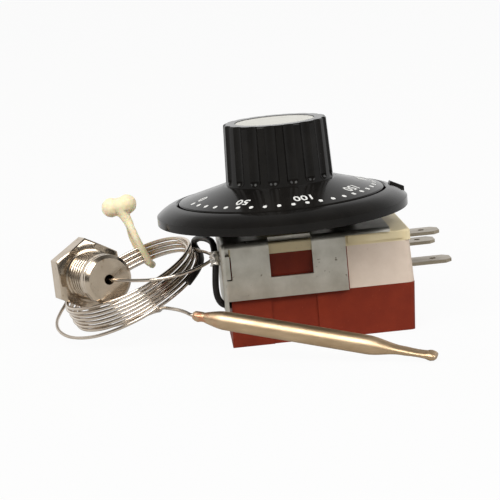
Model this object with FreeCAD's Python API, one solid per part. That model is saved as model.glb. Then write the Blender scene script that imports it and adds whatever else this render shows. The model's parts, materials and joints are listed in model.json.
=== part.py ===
import FreeCAD, Part
import math
import os

# Capillary thermostat switch: a dial and knob over a bezel, a moulded switch body in a steel
# bracket, and a liquid bulb on a coiled capillary that carries a sealing gland.
# Millimetres. The spindle axis is +Z, z = 0 is the foot of the body, +X points to the terminals
# and -Y is the front.

V = FreeCAD.Vector
Z = V(0, 0, 1)

# Body mouldings
body_depth = 28.2
foot_left = 15.3
foot_right = 27.9
waist_left = 14.55
waist_right = 28.6
shoulder_left = 14.3
split_height = 11.4
ceramic_left = 13.2
ceramic_top_right = 28.1
wall = 2.8
body_floor = 2.5
ledge = 1.2
band_width = 10.8
band_recess = 0.35
foot_corner = 1.0
block_corner = 1.6
lid_thickness = 2.55
lid_overhang = 0.3
lid_edge = 0.5
lid_corner = 1.2
lip_reach = 0.4
plug_depth = 0.6
seat_gap = 0.05
fit_gap = 0.2
reach_past = 60.0

# Bracket
sheet = 1.0
bracket_end_gap = 1.0
bracket_top_right = 23.5
flange_right = 12.9
flange_height = 13.75
end_flange_height = 17.05
bend_radius = 1.4
window_width = 10.0
window_height = 8.95
window_cut_in = 2.2
corner_slot_drop = 1.45
corner_slot_height = 7.4
corner_slot_width = 1.25
tab_height = 5.4
tab_rise = 0.35
end_plate_thickness = 0.9
end_plate_height = 11.2
end_plate_inset = 0.6
notch_half_width = 1.9

# Spindle, bush and adjuster
spindle_radius = 3.0
spindle_flat = 2.2
spindle_thread_radius = 2.5
spindle_thread_end = 0.3
crown_gap = 1.3
running_gap = 0.05
bush_radius = 5.0
bush_flange_radius = 7.0
bush_flange_thickness = 1.6
bush_proud = 0.45
bush_depth = 0.8
collar_radius = 3.9
collar_thickness = 0.6
clip_radius = 4.6
clip_thickness = 0.6
clip_gap = 0.1
clip_opening = 3.8
groove_depth = 0.5
nut_width = 8.0
nut_height = 2.1
nut_rib = 1.2
nut_foot_gap = 0.5
nut_head_gap = 0.5
spring_bore_gap = 0.1
spring_wire = 0.6

# Capsule and push pin
capsule_clearance = 1.1
capsule_thickness = 3.2
capsule_step = 2.2
capsule_rim = 1.0
capsule_rim_thickness = 0.8
capsule_ripple = 0.5
capsule_boss_radius = 2.0
capsule_boss_height = 0.9
capsule_head_gap = 0.4
pedestal_wall = 1.5
guide_plate_seat = 0.7
guide_plate_thickness = 1.1
pin_radius = 1.25

# Contacts and terminals
arm_thickness = 0.4
arm_width = 6.0
arm_pivot_x = 14.4
arm_pivot_radius = 0.35
arm_tip_margin = 0.5
arm_tip_corner = 1.2
arm_slot_inset = 3.4
arm_slot_length = 7.4
arm_slot_width = 2.4
contact_x = -5.0
contact_radius = 1.5
contact_drop = 0.6
contact_gap = 0.6
contact_rest_gap = 0.05
button_height = 0.75
upper_button_height = 0.4
tail_gap = 0.2
tab_width = 6.3
tab_thickness = 0.8
tab_chamfer = 1.5
tab_hole_radius = 0.75
tab_hole_inset = 4.2
strip_width = 3.4
tab_side_gap = 0.1
front_tab_drop = 0.4
rear_tab_rise = 0.4
upper_tab_drop = 1.05
front_tab_tip = 38.0
rear_tab_tip = 37.4
upper_tab_tip = 37.1
ceramic_wall = 4.3
ceramic_floor = 1.5

# Bezel
panel_gap = 3.6
bezel_ring_width = 5.05
bezel_wall_height = 1.85
bezel_rise = 2.5
bezel_crown = 0.35
bezel_floor_thickness = 1.5
bezel_hub_gap = 1.0
bezel_rim_wall = 1.6
pointer_angle = 5.0
pointer_width = 1.7
pointer_height = 0.9
boss_spacing = 28.0
boss_wall = 1.2
screw_radius = 2.0
screw_head_radius = 3.5
screw_head_height = 1.9
screw_slot_width = 1.0
screw_slot_depth = 0.8
screw_seat_depth = 0.4

# Knob and dial
grip_height = 14.35
grip_lean = 0.55
knob_base_radius = 12.85
knob_corner = 0.5
flute_count = 18
flute_radius = 1.75
flute_depth = 0.75
flute_end = 1.6
ledge_width = 0.7
dial_radius = 24.53
dial_gap = 0.42
dial_stand = 0.27
dial_rise = 3.18
ledge_drop = 0.1
dial_edge = 1.1
dial_edge_break = 0.25
dial_skin = 1.5
grip_skin = 2.4
hub_radius = 5.2
hub_gap = 0.3
crown_thickness = 2.6
cap_margin = 2.9
cap_thickness = 0.6
cap_edge = 0.15

# Gland
gland_hex = 16.0
gland_hex_thickness = 5.2
gland_dome_slope = 0.58
gland_stem_radius = 6.0
gland_stem_length = 12.4
gland_collar_length = 1.2
gland_relief_length = 0.8
gland_relief_depth = 0.9
gland_end_chamfer = 0.9
gland_bore = 1.1
packing_radius = 3.2
packing_length = 3.0
press_ring_length = 1.4
press_ring_slot = 0.8
gland_clearance = 0.2
gland_face = V(-47.8, 9.0, 16.35)
gland_axis = V(0.399, -0.9155, 0.053)

# Capillary, sleeve and bulb
capillary_radius = 0.4
capillary_inside = 6.9
sleeve_radius = 0.78
sleeve_bore_gap = 0.1
clip_tube_radius = 0.92
coil_radius = 16.9
coil_half_width = 2.0
coil_half_height = 4.8
coil_near_half = 4.3
coil_far_half = 2.3
coil_centre = V(-38.22, 10.95, 13.56)
coil_axis = V(-0.3788, -0.112, 0.9188)
coil_front = V(0.0711, -0.9932, -0.0917)
bulb_radius = 2.15
bulb_start = V(-24.0, -22.0, 10.6)
bulb_end = V(27.5, -45.0, 1.15)
bulb_neck = 2.0
bulb_neck_radius = 1.15
bulb_cone = 7.6
bulb_socket = 0.6
bulb_taper_start = 41.5
bulb_taper_end = 50.0
bulb_tip_width = 1.7
bulb_tip_half_thickness = 0.95

# Cord points, lying free: from the body to the coil, through the gland, and to the bulb
sleeve_exit = V(-13.5, -8.3, 9.2)
sleeve_exit_direction = V(-0.85, -0.527, 0)
clip_low = V(-17.4, -9.2, 19.4)
clip_high = V(-17.4, -8.3, 21.9)
sleeve_low_points = [(-15.4, -9.48, 9.2), (-17.0, -10.2, 10.0), (-17.85, -10.3, 12.0),
                     (-17.95, -10.2, 14.3), (-17.75, -9.9, 16.6)]
sleeve_high_points = [(-17.4, -7.6, 23.8), (-17.8, -5.6, 25.1), (-18.7, -2.4, 25.5),
                      (-19.7, 1.6, 25.3), (-20.5, 5.4, 24.6), (-21.0, 8.5, 23.4),
                      (-21.6, 10.8, 21.6)]
gland_lead_points = [(-23.1, 13.2, 19.5), (-21.4, 9.8, 19.7), (-19.3, 6.4, 19.75),
                     (-17.85, 2.4, 19.6), (-17.75, -2.2, 19.6), (-19.2, -6.6, 19.4),
                     (-22.4, -9.8, 18.8), (-26.6, -11.0, 18.0), (-31.4, -10.2, 17.4),
                     (-36.0, -7.6, 17.1)]
rear_loop_points = [(-53.2, 21.6, 15.4), (-55.4, 24.4, 13.0), (-57.7, 23.9, 9.2), (-58.8, 20.0, 5.6),
                    (-58.0, 14.9, 2.8), (-54.4, 10.4, 1.1), (-49.0, 6.6, 1.4),
                    (-43.8, 2.0, 3.2), (-39.6, -2.6, 6.2), (-36.4, -5.0, 9.4)]
bulb_lead_points = [(-36.4, -5.4, 10.2), (-34.2, -8.6, 11.1), (-31.8, -12.0, 11.7),
                    (-29.6, -15.3, 11.9), (-27.6, -18.2, 11.8), (-26.0, -20.3, 11.4)]

# Coil tie
tie_bead_radius = 2.2
tie_band = 1.6
tie_thickness = 0.9
tie_gap = 0.3
tie_reach = 7.0
tie_neck_radius = 1.0
tie_angle = 75.0
tie_bead_left = V(-41.1, 27.2, 30.1)
tie_bead_right = V(-37.6, 27.2, 30.3)

# Faces that follow from the body's sizes
half_depth = body_depth / 2
cavity_half_y = half_depth - wall
cavity_half_x = shoulder_left - wall
flange_face = half_depth + sheet
bracket_left = shoulder_left + bracket_end_gap + sheet
capsule_radius = cavity_half_x - ledge - capsule_clearance
pedestal_radius = capsule_radius - capsule_step
spring_radius = spindle_thread_radius + spring_bore_gap + spring_wire
outer_tab_y = cavity_half_y - strip_width / 2 - tab_side_gap
arm_tip = contact_x - contact_radius - arm_tip_margin
arm_slot_end = arm_pivot_x - arm_slot_inset

# Heights inside the body, stacked from the split upwards
guide_plate_bottom = split_height + guide_plate_seat
guide_plate_top = guide_plate_bottom + guide_plate_thickness
capsule_mid_height = guide_plate_bottom - capsule_head_gap - capsule_boss_height - capsule_thickness / 2
lower_tail_top = guide_plate_top + tail_gap + tab_thickness
arm_underside = lower_tail_top + button_height + contact_rest_gap + contact_drop
arm_top = arm_underside + arm_thickness
arm_middle = arm_underside + arm_thickness / 2
moving_contact_low = arm_underside - contact_drop
moving_contact_high = arm_top + contact_drop
upper_tail_bottom = moving_contact_high + contact_gap + upper_button_height
nut_bottom = upper_tail_bottom + tab_thickness + nut_foot_gap
lid_seat_height = nut_bottom + nut_height + nut_head_gap
front_tab_height = arm_underside - front_tab_drop
rear_tab_height = arm_top + rear_tab_rise
upper_tab_height = lid_seat_height - upper_tab_drop

# Heights above the lid: bracket, panel gap, bezel, dial and knob
lid_top = lid_seat_height + lid_thickness
plate_top = lid_top + sheet
flange_bottom = plate_top - flange_height
end_flange_bottom = plate_top - end_flange_height
window_bottom = plate_top - window_height
corner_slot_top = plate_top - corner_slot_drop
corner_slot_bottom = corner_slot_top - corner_slot_height
end_plate_top = corner_slot_top - fit_gap
end_plate_bottom = end_plate_top - end_plate_height
bezel_bottom = plate_top + panel_gap
bezel_floor_top = bezel_bottom + bezel_floor_thickness
bezel_outer_top = bezel_bottom + bezel_wall_height
bezel_inner_top = bezel_outer_top + bezel_rise
bezel_bore = dial_radius + dial_gap
bezel_radius = bezel_bore + bezel_ring_width
bezel_hub_bore = bush_flange_radius + bezel_hub_gap
boss_radius = screw_radius + boss_wall
bush_top = bezel_floor_top + bush_proud
bush_bottom = lid_seat_height + bush_depth
spindle_bottom = nut_bottom - spindle_thread_end
hub_bottom = bush_top + clip_gap + clip_thickness + hub_gap
dial_rim_height = bezel_inner_top + dial_stand
cone_top = dial_rim_height + dial_rise
knob_base_height = cone_top + ledge_drop
knob_top = knob_base_height + grip_height
knob_top_radius = knob_base_radius - grip_lean
cap_radius = knob_top_radius - cap_margin
spindle_top = knob_top - crown_thickness - crown_gap

gland_direction = V(gland_axis).normalize()
bulb_direction = (bulb_end - bulb_start).normalize()
bulb_length = (bulb_end - bulb_start).Length


def block(x0, x1, y0, y1, z0, z1):
    return Part.makeBox(x1 - x0, y1 - y0, z1 - z0, V(x0, y0, z0))


def post(radius, z0, z1, x=0.0, y=0.0):
    return Part.makeCylinder(radius, z1 - z0, V(x, y, z0))


def profile_xz(points, y0, y1):
    """Prism along Y of a closed outline given in X and Z."""
    wire = Part.makePolygon([V(x, y0, z) for x, z in points + points[:1]])
    return Part.Face(wire).extrude(V(0, y1 - y0, 0))


def revolve_rz(edges):
    """Solid of revolution about the spindle axis of edges in the XZ plane."""
    wire = Part.Wire(Part.__sortEdges__(edges))
    return Part.Face(wire).revolve(V(0, 0, 0), Z, 360)


def lines_rz(points):
    """Straight edges between points given as radius and height."""
    vectors = [V(r, 0, z) for r, z in points]
    return [Part.LineSegment(a, b).toShape() for a, b in zip(vectors, vectors[1:])]


def rounded(shape, radius, chosen):
    """Fillet the edges that the given test picks."""
    return shape.makeFillet(radius, [edge for edge in shape.Edges if chosen(edge)])


def is_vertical(edge):
    return abs(abs(edge.tangentAt(edge.FirstParameter).z) - 1) < 1e-6


def place_along(shape, origin, direction, across=V(1, 0, 0)):
    """Move a shape built along +Z so that +Z follows the direction and +X the given side."""
    z_axis = V(direction).normalize()
    x_axis = (across - z_axis * across.dot(z_axis)).normalize()
    y_axis = z_axis.cross(x_axis)
    matrix = FreeCAD.Matrix(x_axis.x, y_axis.x, z_axis.x, origin.x,
                            x_axis.y, y_axis.y, z_axis.y, origin.y,
                            x_axis.z, y_axis.z, z_axis.z, origin.z,
                            0, 0, 0, 1)
    placed = shape.copy()
    placed.transformShape(matrix)
    return placed


def cord_tube(name, points, radius):
    """Round tube along straight runs joined by tangent arcs."""
    knots = [V(*p) if isinstance(p, tuple) else V(p) for p in points]
    edges = []
    length = 0.0
    radii = []
    start = knots[0]
    for before, corner, after in zip(knots, knots[1:], knots[2:]):
        back = (before - corner).normalize()
        ahead = (after - corner).normalize()
        half_turn = (math.pi - back.getAngle(ahead)) / 2
        tangent = 0.45 * min((before - corner).Length, (after - corner).Length)
        bend = tangent / math.tan(half_turn)
        first = corner + back * tangent
        last = corner + ahead * tangent
        middle_way = (back + ahead).normalize()
        middle = corner + middle_way * (bend / math.cos(half_turn) - bend)
        edges.append(Part.LineSegment(start, first).toShape())
        edges.append(Part.Arc(first, middle, last).toShape())
        length += (first - start).Length + bend * 2 * half_turn
        radii.append(round(bend, 1))
        start = last
    edges.append(Part.LineSegment(start, knots[-1]).toShape())
    length += (knots[-1] - start).Length
    path = Part.Wire(edges)
    ring = Part.Wire(Part.makeCircle(radius, knots[0], (knots[1] - knots[0]).normalize()))
    tube = path.makePipeShell([ring], True, False)
    ratio = tube.Volume / (math.pi * radius ** 2 * length)
    print(name, "radii", radii, "length", round(length, 1), "volume ratio", round(ratio, 4))
    return tube


def base_housing():
    outline = [(-foot_left, 0), (foot_right, 0), (waist_right, split_height),
               (ceramic_left, split_height), (ceramic_left, lid_seat_height),
               (-shoulder_left, lid_seat_height), (-shoulder_left, split_height),
               (-waist_left, split_height)]
    body = profile_xz(outline, -half_depth, half_depth)
    body = rounded(body, foot_corner, lambda e: e.BoundBox.XMin > foot_right - 0.01
                   and e.BoundBox.ZLength > split_height / 2)
    upper = block(-cavity_half_x, ceramic_left + 1, -cavity_half_y, cavity_half_y,
                  guide_plate_bottom, lid_seat_height + 1)
    lower = block(-cavity_half_x + ledge, cavity_half_x - ledge, -cavity_half_y + ledge,
                  cavity_half_y - ledge, body_floor, guide_plate_bottom + 1)
    body = body.cut(upper).cut(lower)
    pedestal_top = capsule_mid_height - capsule_thickness / 2 - seat_gap
    pedestal = post(pedestal_radius, body_floor - 0.5, pedestal_top)
    pedestal = pedestal.cut(post(pedestal_radius - pedestal_wall, body_floor - 1, pedestal_top + 1))
    body = body.fuse(pedestal)
    band = block(-band_width / 2, band_width / 2, -half_depth - 1, -half_depth + band_recess,
                 -1, lid_seat_height + 1)
    exit_hole = Part.makeCylinder(sleeve_radius + sleeve_bore_gap, 12,
                                  sleeve_exit - sleeve_exit_direction * 5, sleeve_exit_direction)
    return body.cut(band).cut(exit_hole).removeSplitter()


def terminal_block():
    outline = [(ceramic_left, split_height), (waist_right, split_height),
               (ceramic_top_right, lid_seat_height), (ceramic_left, lid_seat_height)]
    block_body = profile_xz(outline, -half_depth, half_depth)
    block_body = rounded(block_body, block_corner, lambda e: e.BoundBox.XMin > ceramic_left + 1
                         and e.BoundBox.ZLength > 5)
    recess = block(ceramic_left - 1, ceramic_top_right - ceramic_wall, -cavity_half_y,
                   cavity_half_y, split_height + ceramic_floor, lid_seat_height + 1)
    block_body = block_body.cut(recess)
    for y, height in ((-outer_tab_y, front_tab_height), (outer_tab_y, rear_tab_height),
                      (0.0, upper_tab_height)):
        half = tab_width / 2 + seat_gap
        thick = tab_thickness / 2 + seat_gap
        block_body = block_body.cut(block(ceramic_left, waist_right + 1, y - half, y + half,
                                          height - thick, height + thick))
    return block_body.removeSplitter()


def housing_lid():
    lid = block(-shoulder_left, ceramic_top_right + lid_overhang, -half_depth, half_depth,
                lid_seat_height, lid_top)
    lid = rounded(lid, lid_corner, lambda e: is_vertical(e) and e.BoundBox.XMin > 0)
    lid = rounded(lid, lid_edge, lambda e: e.BoundBox.ZMin > lid_top - 0.01
                  and (e.BoundBox.XLength > 5 or e.BoundBox.XMax < 0))
    lip = block(ceramic_left + lip_reach, ceramic_top_right - block_corner, -half_depth - lip_reach,
                -half_depth + 1, lid_seat_height + lid_edge + fit_gap, lid_top)
    lip = rounded(lip, lip_reach, lambda e: e.BoundBox.ZMin > lid_top - 0.01
                  and e.BoundBox.YMax < -half_depth and e.BoundBox.XLength > 5)
    lid = lid.fuse(lip)
    plug = block(-cavity_half_x + fit_gap, ceramic_left - fit_gap, -cavity_half_y + fit_gap,
                 cavity_half_y - fit_gap, lid_seat_height - plug_depth, lid_seat_height + 0.1)
    plug = plug.cut(block(-nut_width, nut_width, -nut_width, nut_width,
                          lid_seat_height - 1, lid_seat_height))
    lid = lid.fuse(plug)
    inner = nut_width / 2 + running_gap
    for side in (-1, 1):
        y0 = min(side * inner, side * (inner + nut_rib))
        lid = lid.fuse(block(-nut_width / 2, nut_width / 2, y0, y0 + nut_rib,
                             nut_bottom, lid_seat_height + 0.1))
    return lid.cut(post(bush_radius + 0.3, lid_seat_height - 2, lid_top + 1)).removeSplitter()


def mounting_bracket():
    outer = profile_bracket(0.0)
    inner = profile_bracket(sheet)
    shell = outer.cut(inner)
    far = reach_past
    shell = shell.cut(block(flange_right, far, -far, far, -far, plate_top - sheet))
    shell = shell.cut(block(-bracket_left + sheet, far, -far, far, -far, flange_bottom))
    shell = shell.cut(block(-far, far, -far, far, -far, end_flange_bottom))
    window = block(-window_width / 2, window_width / 2, -flange_face - 1,
                   -half_depth + window_cut_in, window_bottom, plate_top + 1)
    shell = shell.cut(window)
    slot_x = -shoulder_left - end_plate_thickness - seat_gap
    for y0, y1 in ((-flange_face - 1, -half_depth + 0.5), (half_depth - 0.5, flange_face + 1)):
        shell = shell.cut(block(slot_x, slot_x + corner_slot_width, y0, y1,
                                corner_slot_bottom, corner_slot_top))
    shell = shell.cut(post(bush_radius + 0.03, lid_top - 1, plate_top + 1))
    for side in (-1, 1):
        shell = shell.cut(post(screw_radius - 0.35, lid_top - 1, plate_top + 1,
                               side * boss_spacing / 2))
    notch_y = sleeve_exit.y - 1.3
    notch = block(-bracket_left - 1, -bracket_left + sheet + 0.5, notch_y - notch_half_width,
                  notch_y + notch_half_width, end_flange_bottom - 1, sleeve_exit.z + 1.6)
    return shell.cut(notch).removeSplitter()


def profile_bracket(inset):
    """Closed block whose top edges along X and left edges are bent round."""
    radius = bend_radius if inset == 0.0 else bend_radius - sheet
    left = -bracket_left + inset
    right = bracket_top_right + (0.0 if inset == 0.0 else reach_past)
    side = flange_face - inset
    top = plate_top - inset
    low = end_flange_bottom - (1.0 if inset == 0.0 else reach_past)
    solid = block(left, right, -side, side, low, top)
    chosen = [e for e in solid.Edges
              if (e.BoundBox.ZMin > top - 0.01 and e.BoundBox.XLength > 5)
              or (is_vertical(e) and e.BoundBox.XMax < left + 0.01)
              or (e.BoundBox.ZMin > top - 0.01 and e.BoundBox.XMax < left + 0.01)]
    return solid.makeFillet(radius, chosen)


def end_plate():
    x1 = -shoulder_left - 0.02
    x0 = x1 - end_plate_thickness
    edge = half_depth - end_plate_inset
    plate = block(x0, x1, -edge, edge, end_plate_bottom, end_plate_top)
    middle = (corner_slot_bottom + corner_slot_top) / 2 - end_plate_inset
    for side in (-1, 1):
        y0 = min(side * (edge - 0.1), side * (flange_face + tab_rise))
        y1 = max(side * (edge - 0.1), side * (flange_face + tab_rise))
        plate = plate.fuse(block(x0, x1, y0, y1, middle - tab_height / 2, middle + tab_height / 2))
    return plate.removeSplitter()


def spindle_bush():
    bush = post(bush_radius, bush_bottom, bush_top)
    bush = bush.fuse(post(bush_flange_radius, plate_top, plate_top + bush_flange_thickness))
    bush = rounded(bush, 0.4, lambda e: e.BoundBox.ZMin > bush_top - 0.01)
    return bush.cut(post(spindle_radius + running_gap, bush_bottom - 1, bush_top + 1))


def bezel():
    outer = bezel_radius
    rim = bezel_inner_top - bezel_crown
    edges = lines_rz([(bezel_hub_bore, bezel_bottom), (bezel_hub_bore, bezel_floor_top),
                      (bezel_bore, bezel_floor_top), (bezel_bore, rim),
                      (bezel_bore + bezel_crown, bezel_inner_top)])
    slope = Part.Arc(V(bezel_bore + bezel_crown, 0, bezel_inner_top),
                     V((bezel_bore + outer) / 2 + bezel_crown, 0,
                       (bezel_inner_top + bezel_outer_top) / 2 + bezel_crown),
                     V(outer, 0, bezel_outer_top)).toShape()
    edges.append(slope)
    inner = outer - bezel_rim_wall
    edges += lines_rz([(outer, bezel_outer_top), (outer, bezel_bottom), (inner, bezel_bottom),
                       (inner, bezel_outer_top - 0.4), (bezel_bore + bezel_rim_wall, bezel_outer_top + 0.2),
                       (bezel_bore + bezel_rim_wall, bezel_bottom), (bezel_hub_bore, bezel_bottom)])
    ring = revolve_rz(edges)
    bar = block(bezel_bore + 0.1, outer - 0.05, -pointer_width / 2, pointer_width / 2, 0, pointer_height * 3)
    drop = math.degrees(math.atan2(bezel_rise, outer - bezel_bore))
    bar.rotate(V(outer - 0.05, 0, 0), V(0, 1, 0), drop)
    bar.translate(V(0, 0, bezel_outer_top - 2 * pointer_height))
    keep = Part.makeCylinder(outer - 0.02, 20, V(0, 0, bezel_bottom + 0.5))
    keep = keep.cut(Part.makeCylinder(bezel_bore + 0.02, 20, V(0, 0, bezel_bottom + 0.5)))
    bar = bar.common(keep)
    bar.rotate(V(0, 0, 0), Z, pointer_angle)
    ring = ring.fuse(bar)
    for side in (-1, 1):
        x = side * boss_spacing / 2
        ring = ring.fuse(post(boss_radius, plate_top, bezel_bottom + 0.2, x))
        ring = ring.cut(post(screw_radius + 0.1, plate_top - 1, bezel_floor_top + 1, x))
        ring = ring.cut(post(screw_head_radius + 0.3, bezel_floor_top - screw_seat_depth,
                             bezel_floor_top + 1, x))
    return ring.removeSplitter()


def bezel_screws():
    pair = []
    seat = bezel_floor_top - screw_seat_depth
    for side in (-1, 1):
        x = side * boss_spacing / 2
        head = post(screw_head_radius, seat, seat + screw_head_height, x)
        head = rounded(head, 0.8, lambda e: e.BoundBox.ZMin > seat + screw_head_height - 0.01)
        slot = block(x - screw_head_radius, x + screw_head_radius, -screw_slot_width / 2,
                     screw_slot_width / 2, seat + screw_head_height - screw_slot_depth,
                     seat + screw_head_height + 1)
        shank = post(screw_radius - 0.4, lid_top, seat + 0.1, x)
        pair.append(head.cut(slot).fuse(shank).removeSplitter())
    return Part.makeCompound(pair)


def knob():
    low = dial_rim_height - dial_edge
    base_edge = knob_base_radius + ledge_width
    crown_under = knob_top - crown_thickness
    edges = lines_rz([(0, knob_top - cap_thickness), (cap_radius + 0.1, knob_top - cap_thickness),
                      (cap_radius + 0.1, knob_top), (knob_top_radius - knob_corner, knob_top)])
    bulge = knob_corner * (1 - math.sqrt(0.5))
    corner = Part.Arc(V(knob_top_radius - knob_corner, 0, knob_top),
                      V(knob_top_radius - bulge, 0, knob_top - bulge),
                      V(knob_top_radius, 0, knob_top - knob_corner)).toShape()
    edges.append(corner)
    edges += lines_rz([(knob_top_radius, knob_top - knob_corner), (knob_base_radius, knob_base_height),
                       (base_edge, cone_top), (dial_radius - dial_edge_break, dial_rim_height),
                       (dial_radius, dial_rim_height - dial_edge_break), (dial_radius, low),
                       (dial_radius - 1.2, low), (dial_radius - 1.6, dial_rim_height - 0.7 * dial_skin),
                       (base_edge - 1.2, cone_top - dial_skin), (knob_base_radius - grip_skin, cone_top - dial_skin),
                       (knob_top_radius - grip_skin, crown_under), (hub_radius, crown_under),
                       (hub_radius, hub_bottom), (0, hub_bottom), (0, knob_top - cap_thickness)])
    body = revolve_rz(edges)
    lean = math.atan2(grip_lean, grip_height - knob_corner)
    flute_low = knob_base_height + flute_end
    centre_low = knob_base_radius - (flute_low - knob_base_height) * math.tan(lean)
    centre_low += flute_radius - flute_depth
    way = V(-math.sin(lean), 0, math.cos(lean))
    start = V(centre_low, 0, flute_low)
    groove = Part.makeCylinder(flute_radius, knob_top - flute_low + 2, start, way)
    groove = groove.fuse(Part.makeSphere(flute_radius, start))
    for index in range(flute_count):
        turned = groove.copy()
        turned.rotate(V(0, 0, 0), Z, index * 360 / flute_count)
        body = body.cut(turned)
    bore = post(spindle_radius + 0.02, hub_bottom - 1, spindle_top + 0.3)
    bore = bore.cut(block(spindle_flat + 0.02, 10, -10, 10, hub_bottom - 2, spindle_top + 2))
    round_part = post(spindle_radius + 0.02, hub_bottom - 1, hub_bottom + 1.2)
    return body.cut(bore).cut(round_part).removeSplitter()


def knob_cap():
    low = knob_top - cap_thickness
    cap = post(cap_radius, low, knob_top - 0.12)
    return rounded(cap, 0.15, lambda e: e.BoundBox.ZMin > knob_top - 0.13)


def spindle():
    shaft = post(spindle_radius, bush_bottom - 0.5, spindle_top)
    flat_low = hub_bottom + 1.3
    shaft = shaft.cut(block(spindle_flat, 10, -10, 10, flat_low, spindle_top + 1))
    collar_top = bush_bottom - 0.1
    shaft = shaft.fuse(post(collar_radius, collar_top - collar_thickness, collar_top))
    shaft = shaft.fuse(post(spindle_thread_radius, spindle_bottom, collar_top))
    groove = post(spindle_radius + 1, bush_top + clip_gap / 2, bush_top + 1.5 * clip_gap + clip_thickness)
    groove = groove.cut(post(spindle_radius - groove_depth, bush_top, hub_bottom))
    return shaft.cut(groove).removeSplitter()


def spindle_clip():
    low = bush_top + clip_gap
    ring = post(clip_radius, low, low + clip_thickness)
    ring = ring.cut(post(spindle_radius - groove_depth + 0.01, low - 1, low + 2))
    gap = block(0, clip_radius + 1, -clip_opening / 2, clip_opening / 2, low - 1, low + 2)
    return ring.cut(gap)


def pressure_nut():
    half = nut_width / 2
    nut = block(-half, half, -half, half, nut_bottom, nut_bottom + nut_height)
    nut = rounded(nut, 0.6, is_vertical)
    return nut.cut(post(spindle_thread_radius + running_gap, nut_bottom - 1, nut_bottom + nut_height + 1))


def range_spring():
    low = arm_top + 0.1
    high = nut_bottom - 0.1
    return post(spring_radius, low, high).cut(post(spring_radius - spring_wire, low - 1, high + 1))


def diaphragm_capsule():
    low = capsule_mid_height - capsule_thickness / 2
    high = capsule_mid_height + capsule_thickness / 2
    rim = capsule_radius - capsule_rim
    rim_low = capsule_mid_height - capsule_rim_thickness / 2
    rim_high = capsule_mid_height + capsule_rim_thickness / 2
    dip = high - capsule_ripple
    edges = lines_rz([(0, low), (pedestal_radius, low), (rim, rim_low), (capsule_radius, rim_low),
                      (capsule_radius, rim_high), (rim, rim_high), (pedestal_radius, high),
                      (pedestal_radius - 1.2, dip), (pedestal_radius - 2.2, high),
                      (pedestal_radius - 3.2, dip), (capsule_boss_radius, high),
                      (capsule_boss_radius, high + capsule_boss_height),
                      (0, high + capsule_boss_height), (0, low)])
    return revolve_rz(edges)


def guide_plate():
    plate = block(-cavity_half_x + seat_gap, cavity_half_x - seat_gap, -cavity_half_y + seat_gap,
                  cavity_half_y - seat_gap, guide_plate_bottom, guide_plate_top)
    return plate.cut(post(pin_radius + running_gap, guide_plate_bottom - 1, guide_plate_top + 1))


def push_pin():
    low = capsule_mid_height + capsule_thickness / 2 + capsule_boss_height + 0.05
    pin = post(pin_radius, low, arm_underside - 0.05)
    return rounded(pin, 0.3, lambda e: e.BoundBox.ZLength < 0.01)


def pivot_roll(radius, half_width):
    """Round bar along the arm's pivot line."""
    return Part.makeCylinder(radius, 2 * half_width, V(arm_pivot_x, -half_width, arm_middle), V(0, 1, 0))


def contact_arm():
    half = arm_width / 2
    arm = block(arm_tip, arm_pivot_x, -half, half, arm_underside, arm_top)
    arm = rounded(arm, arm_tip_corner, lambda e: is_vertical(e) and e.BoundBox.XMax < arm_tip + 0.01)
    arm = arm.cut(block(arm_slot_end - arm_slot_length, arm_slot_end, -arm_slot_width / 2,
                        arm_slot_width / 2, arm_underside - 1, arm_top + 1))
    arm = arm.fuse(pivot_roll(arm_pivot_radius, half))
    return arm.fuse(post(contact_radius, moving_contact_low, moving_contact_high, contact_x)).removeSplitter()


def blade(tip, y, height, inner_x):
    """Flat tab outside, narrower strip inside."""
    low = height - tab_thickness / 2
    tab = block(ceramic_top_right - ceramic_wall, tip, y - tab_width / 2, y + tab_width / 2,
                low, low + tab_thickness)
    tab = tab.makeChamfer(tab_chamfer, [e for e in tab.Edges
                                        if is_vertical(e) and e.BoundBox.XMin > tip - 0.01])
    tab = tab.cut(post(tab_hole_radius, low - 1, low + 2, tip - tab_hole_inset, y))
    strip = block(inner_x, ceramic_top_right - ceramic_wall, y - strip_width / 2,
                  y + strip_width / 2, low, low + tab_thickness)
    return tab.fuse(strip)


def terminal_front():
    inner_x = contact_x - contact_radius
    part = blade(front_tab_tip, -outer_tab_y, front_tab_height, contact_x + contact_radius)
    y0 = -outer_tab_y - strip_width / 2
    y1 = -outer_tab_y + strip_width / 2
    tail_low = lower_tail_top - tab_thickness
    riser = block(contact_x + contact_radius - tab_thickness, contact_x + contact_radius, y0, y1,
                  tail_low, front_tab_height + tab_thickness / 2)
    tail = block(inner_x, contact_x + contact_radius, y0, contact_radius, tail_low, lower_tail_top)
    button = post(contact_radius, lower_tail_top - 0.1, moving_contact_low - contact_rest_gap, contact_x)
    return part.fuse([riser, tail, button]).removeSplitter()


def terminal_rear():
    inner_x = contact_x - contact_radius
    part = blade(rear_tab_tip, outer_tab_y, rear_tab_height, contact_x + contact_radius)
    y0 = outer_tab_y - strip_width / 2
    y1 = outer_tab_y + strip_width / 2
    tail_high = upper_tail_bottom + tab_thickness
    riser = block(contact_x + contact_radius - tab_thickness, contact_x + contact_radius, y0, y1,
                  rear_tab_height - tab_thickness / 2, tail_high)
    tail = block(inner_x, contact_x + contact_radius, -contact_radius, y1, upper_tail_bottom, tail_high)
    button = post(contact_radius, moving_contact_high + contact_gap, upper_tail_bottom + 0.1, contact_x)
    return part.fuse([riser, tail, button]).removeSplitter()


def terminal_common():
    part = blade(upper_tab_tip, 0.0, upper_tab_height, arm_pivot_x)
    half = strip_width / 2
    riser = block(arm_pivot_x, arm_pivot_x + tab_thickness, -half, half, arm_underside - 0.6,
                  upper_tab_height + tab_thickness / 2)
    riser = riser.cut(pivot_roll(arm_pivot_radius + running_gap, arm_width))
    return part.fuse(riser).removeSplitter()


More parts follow.
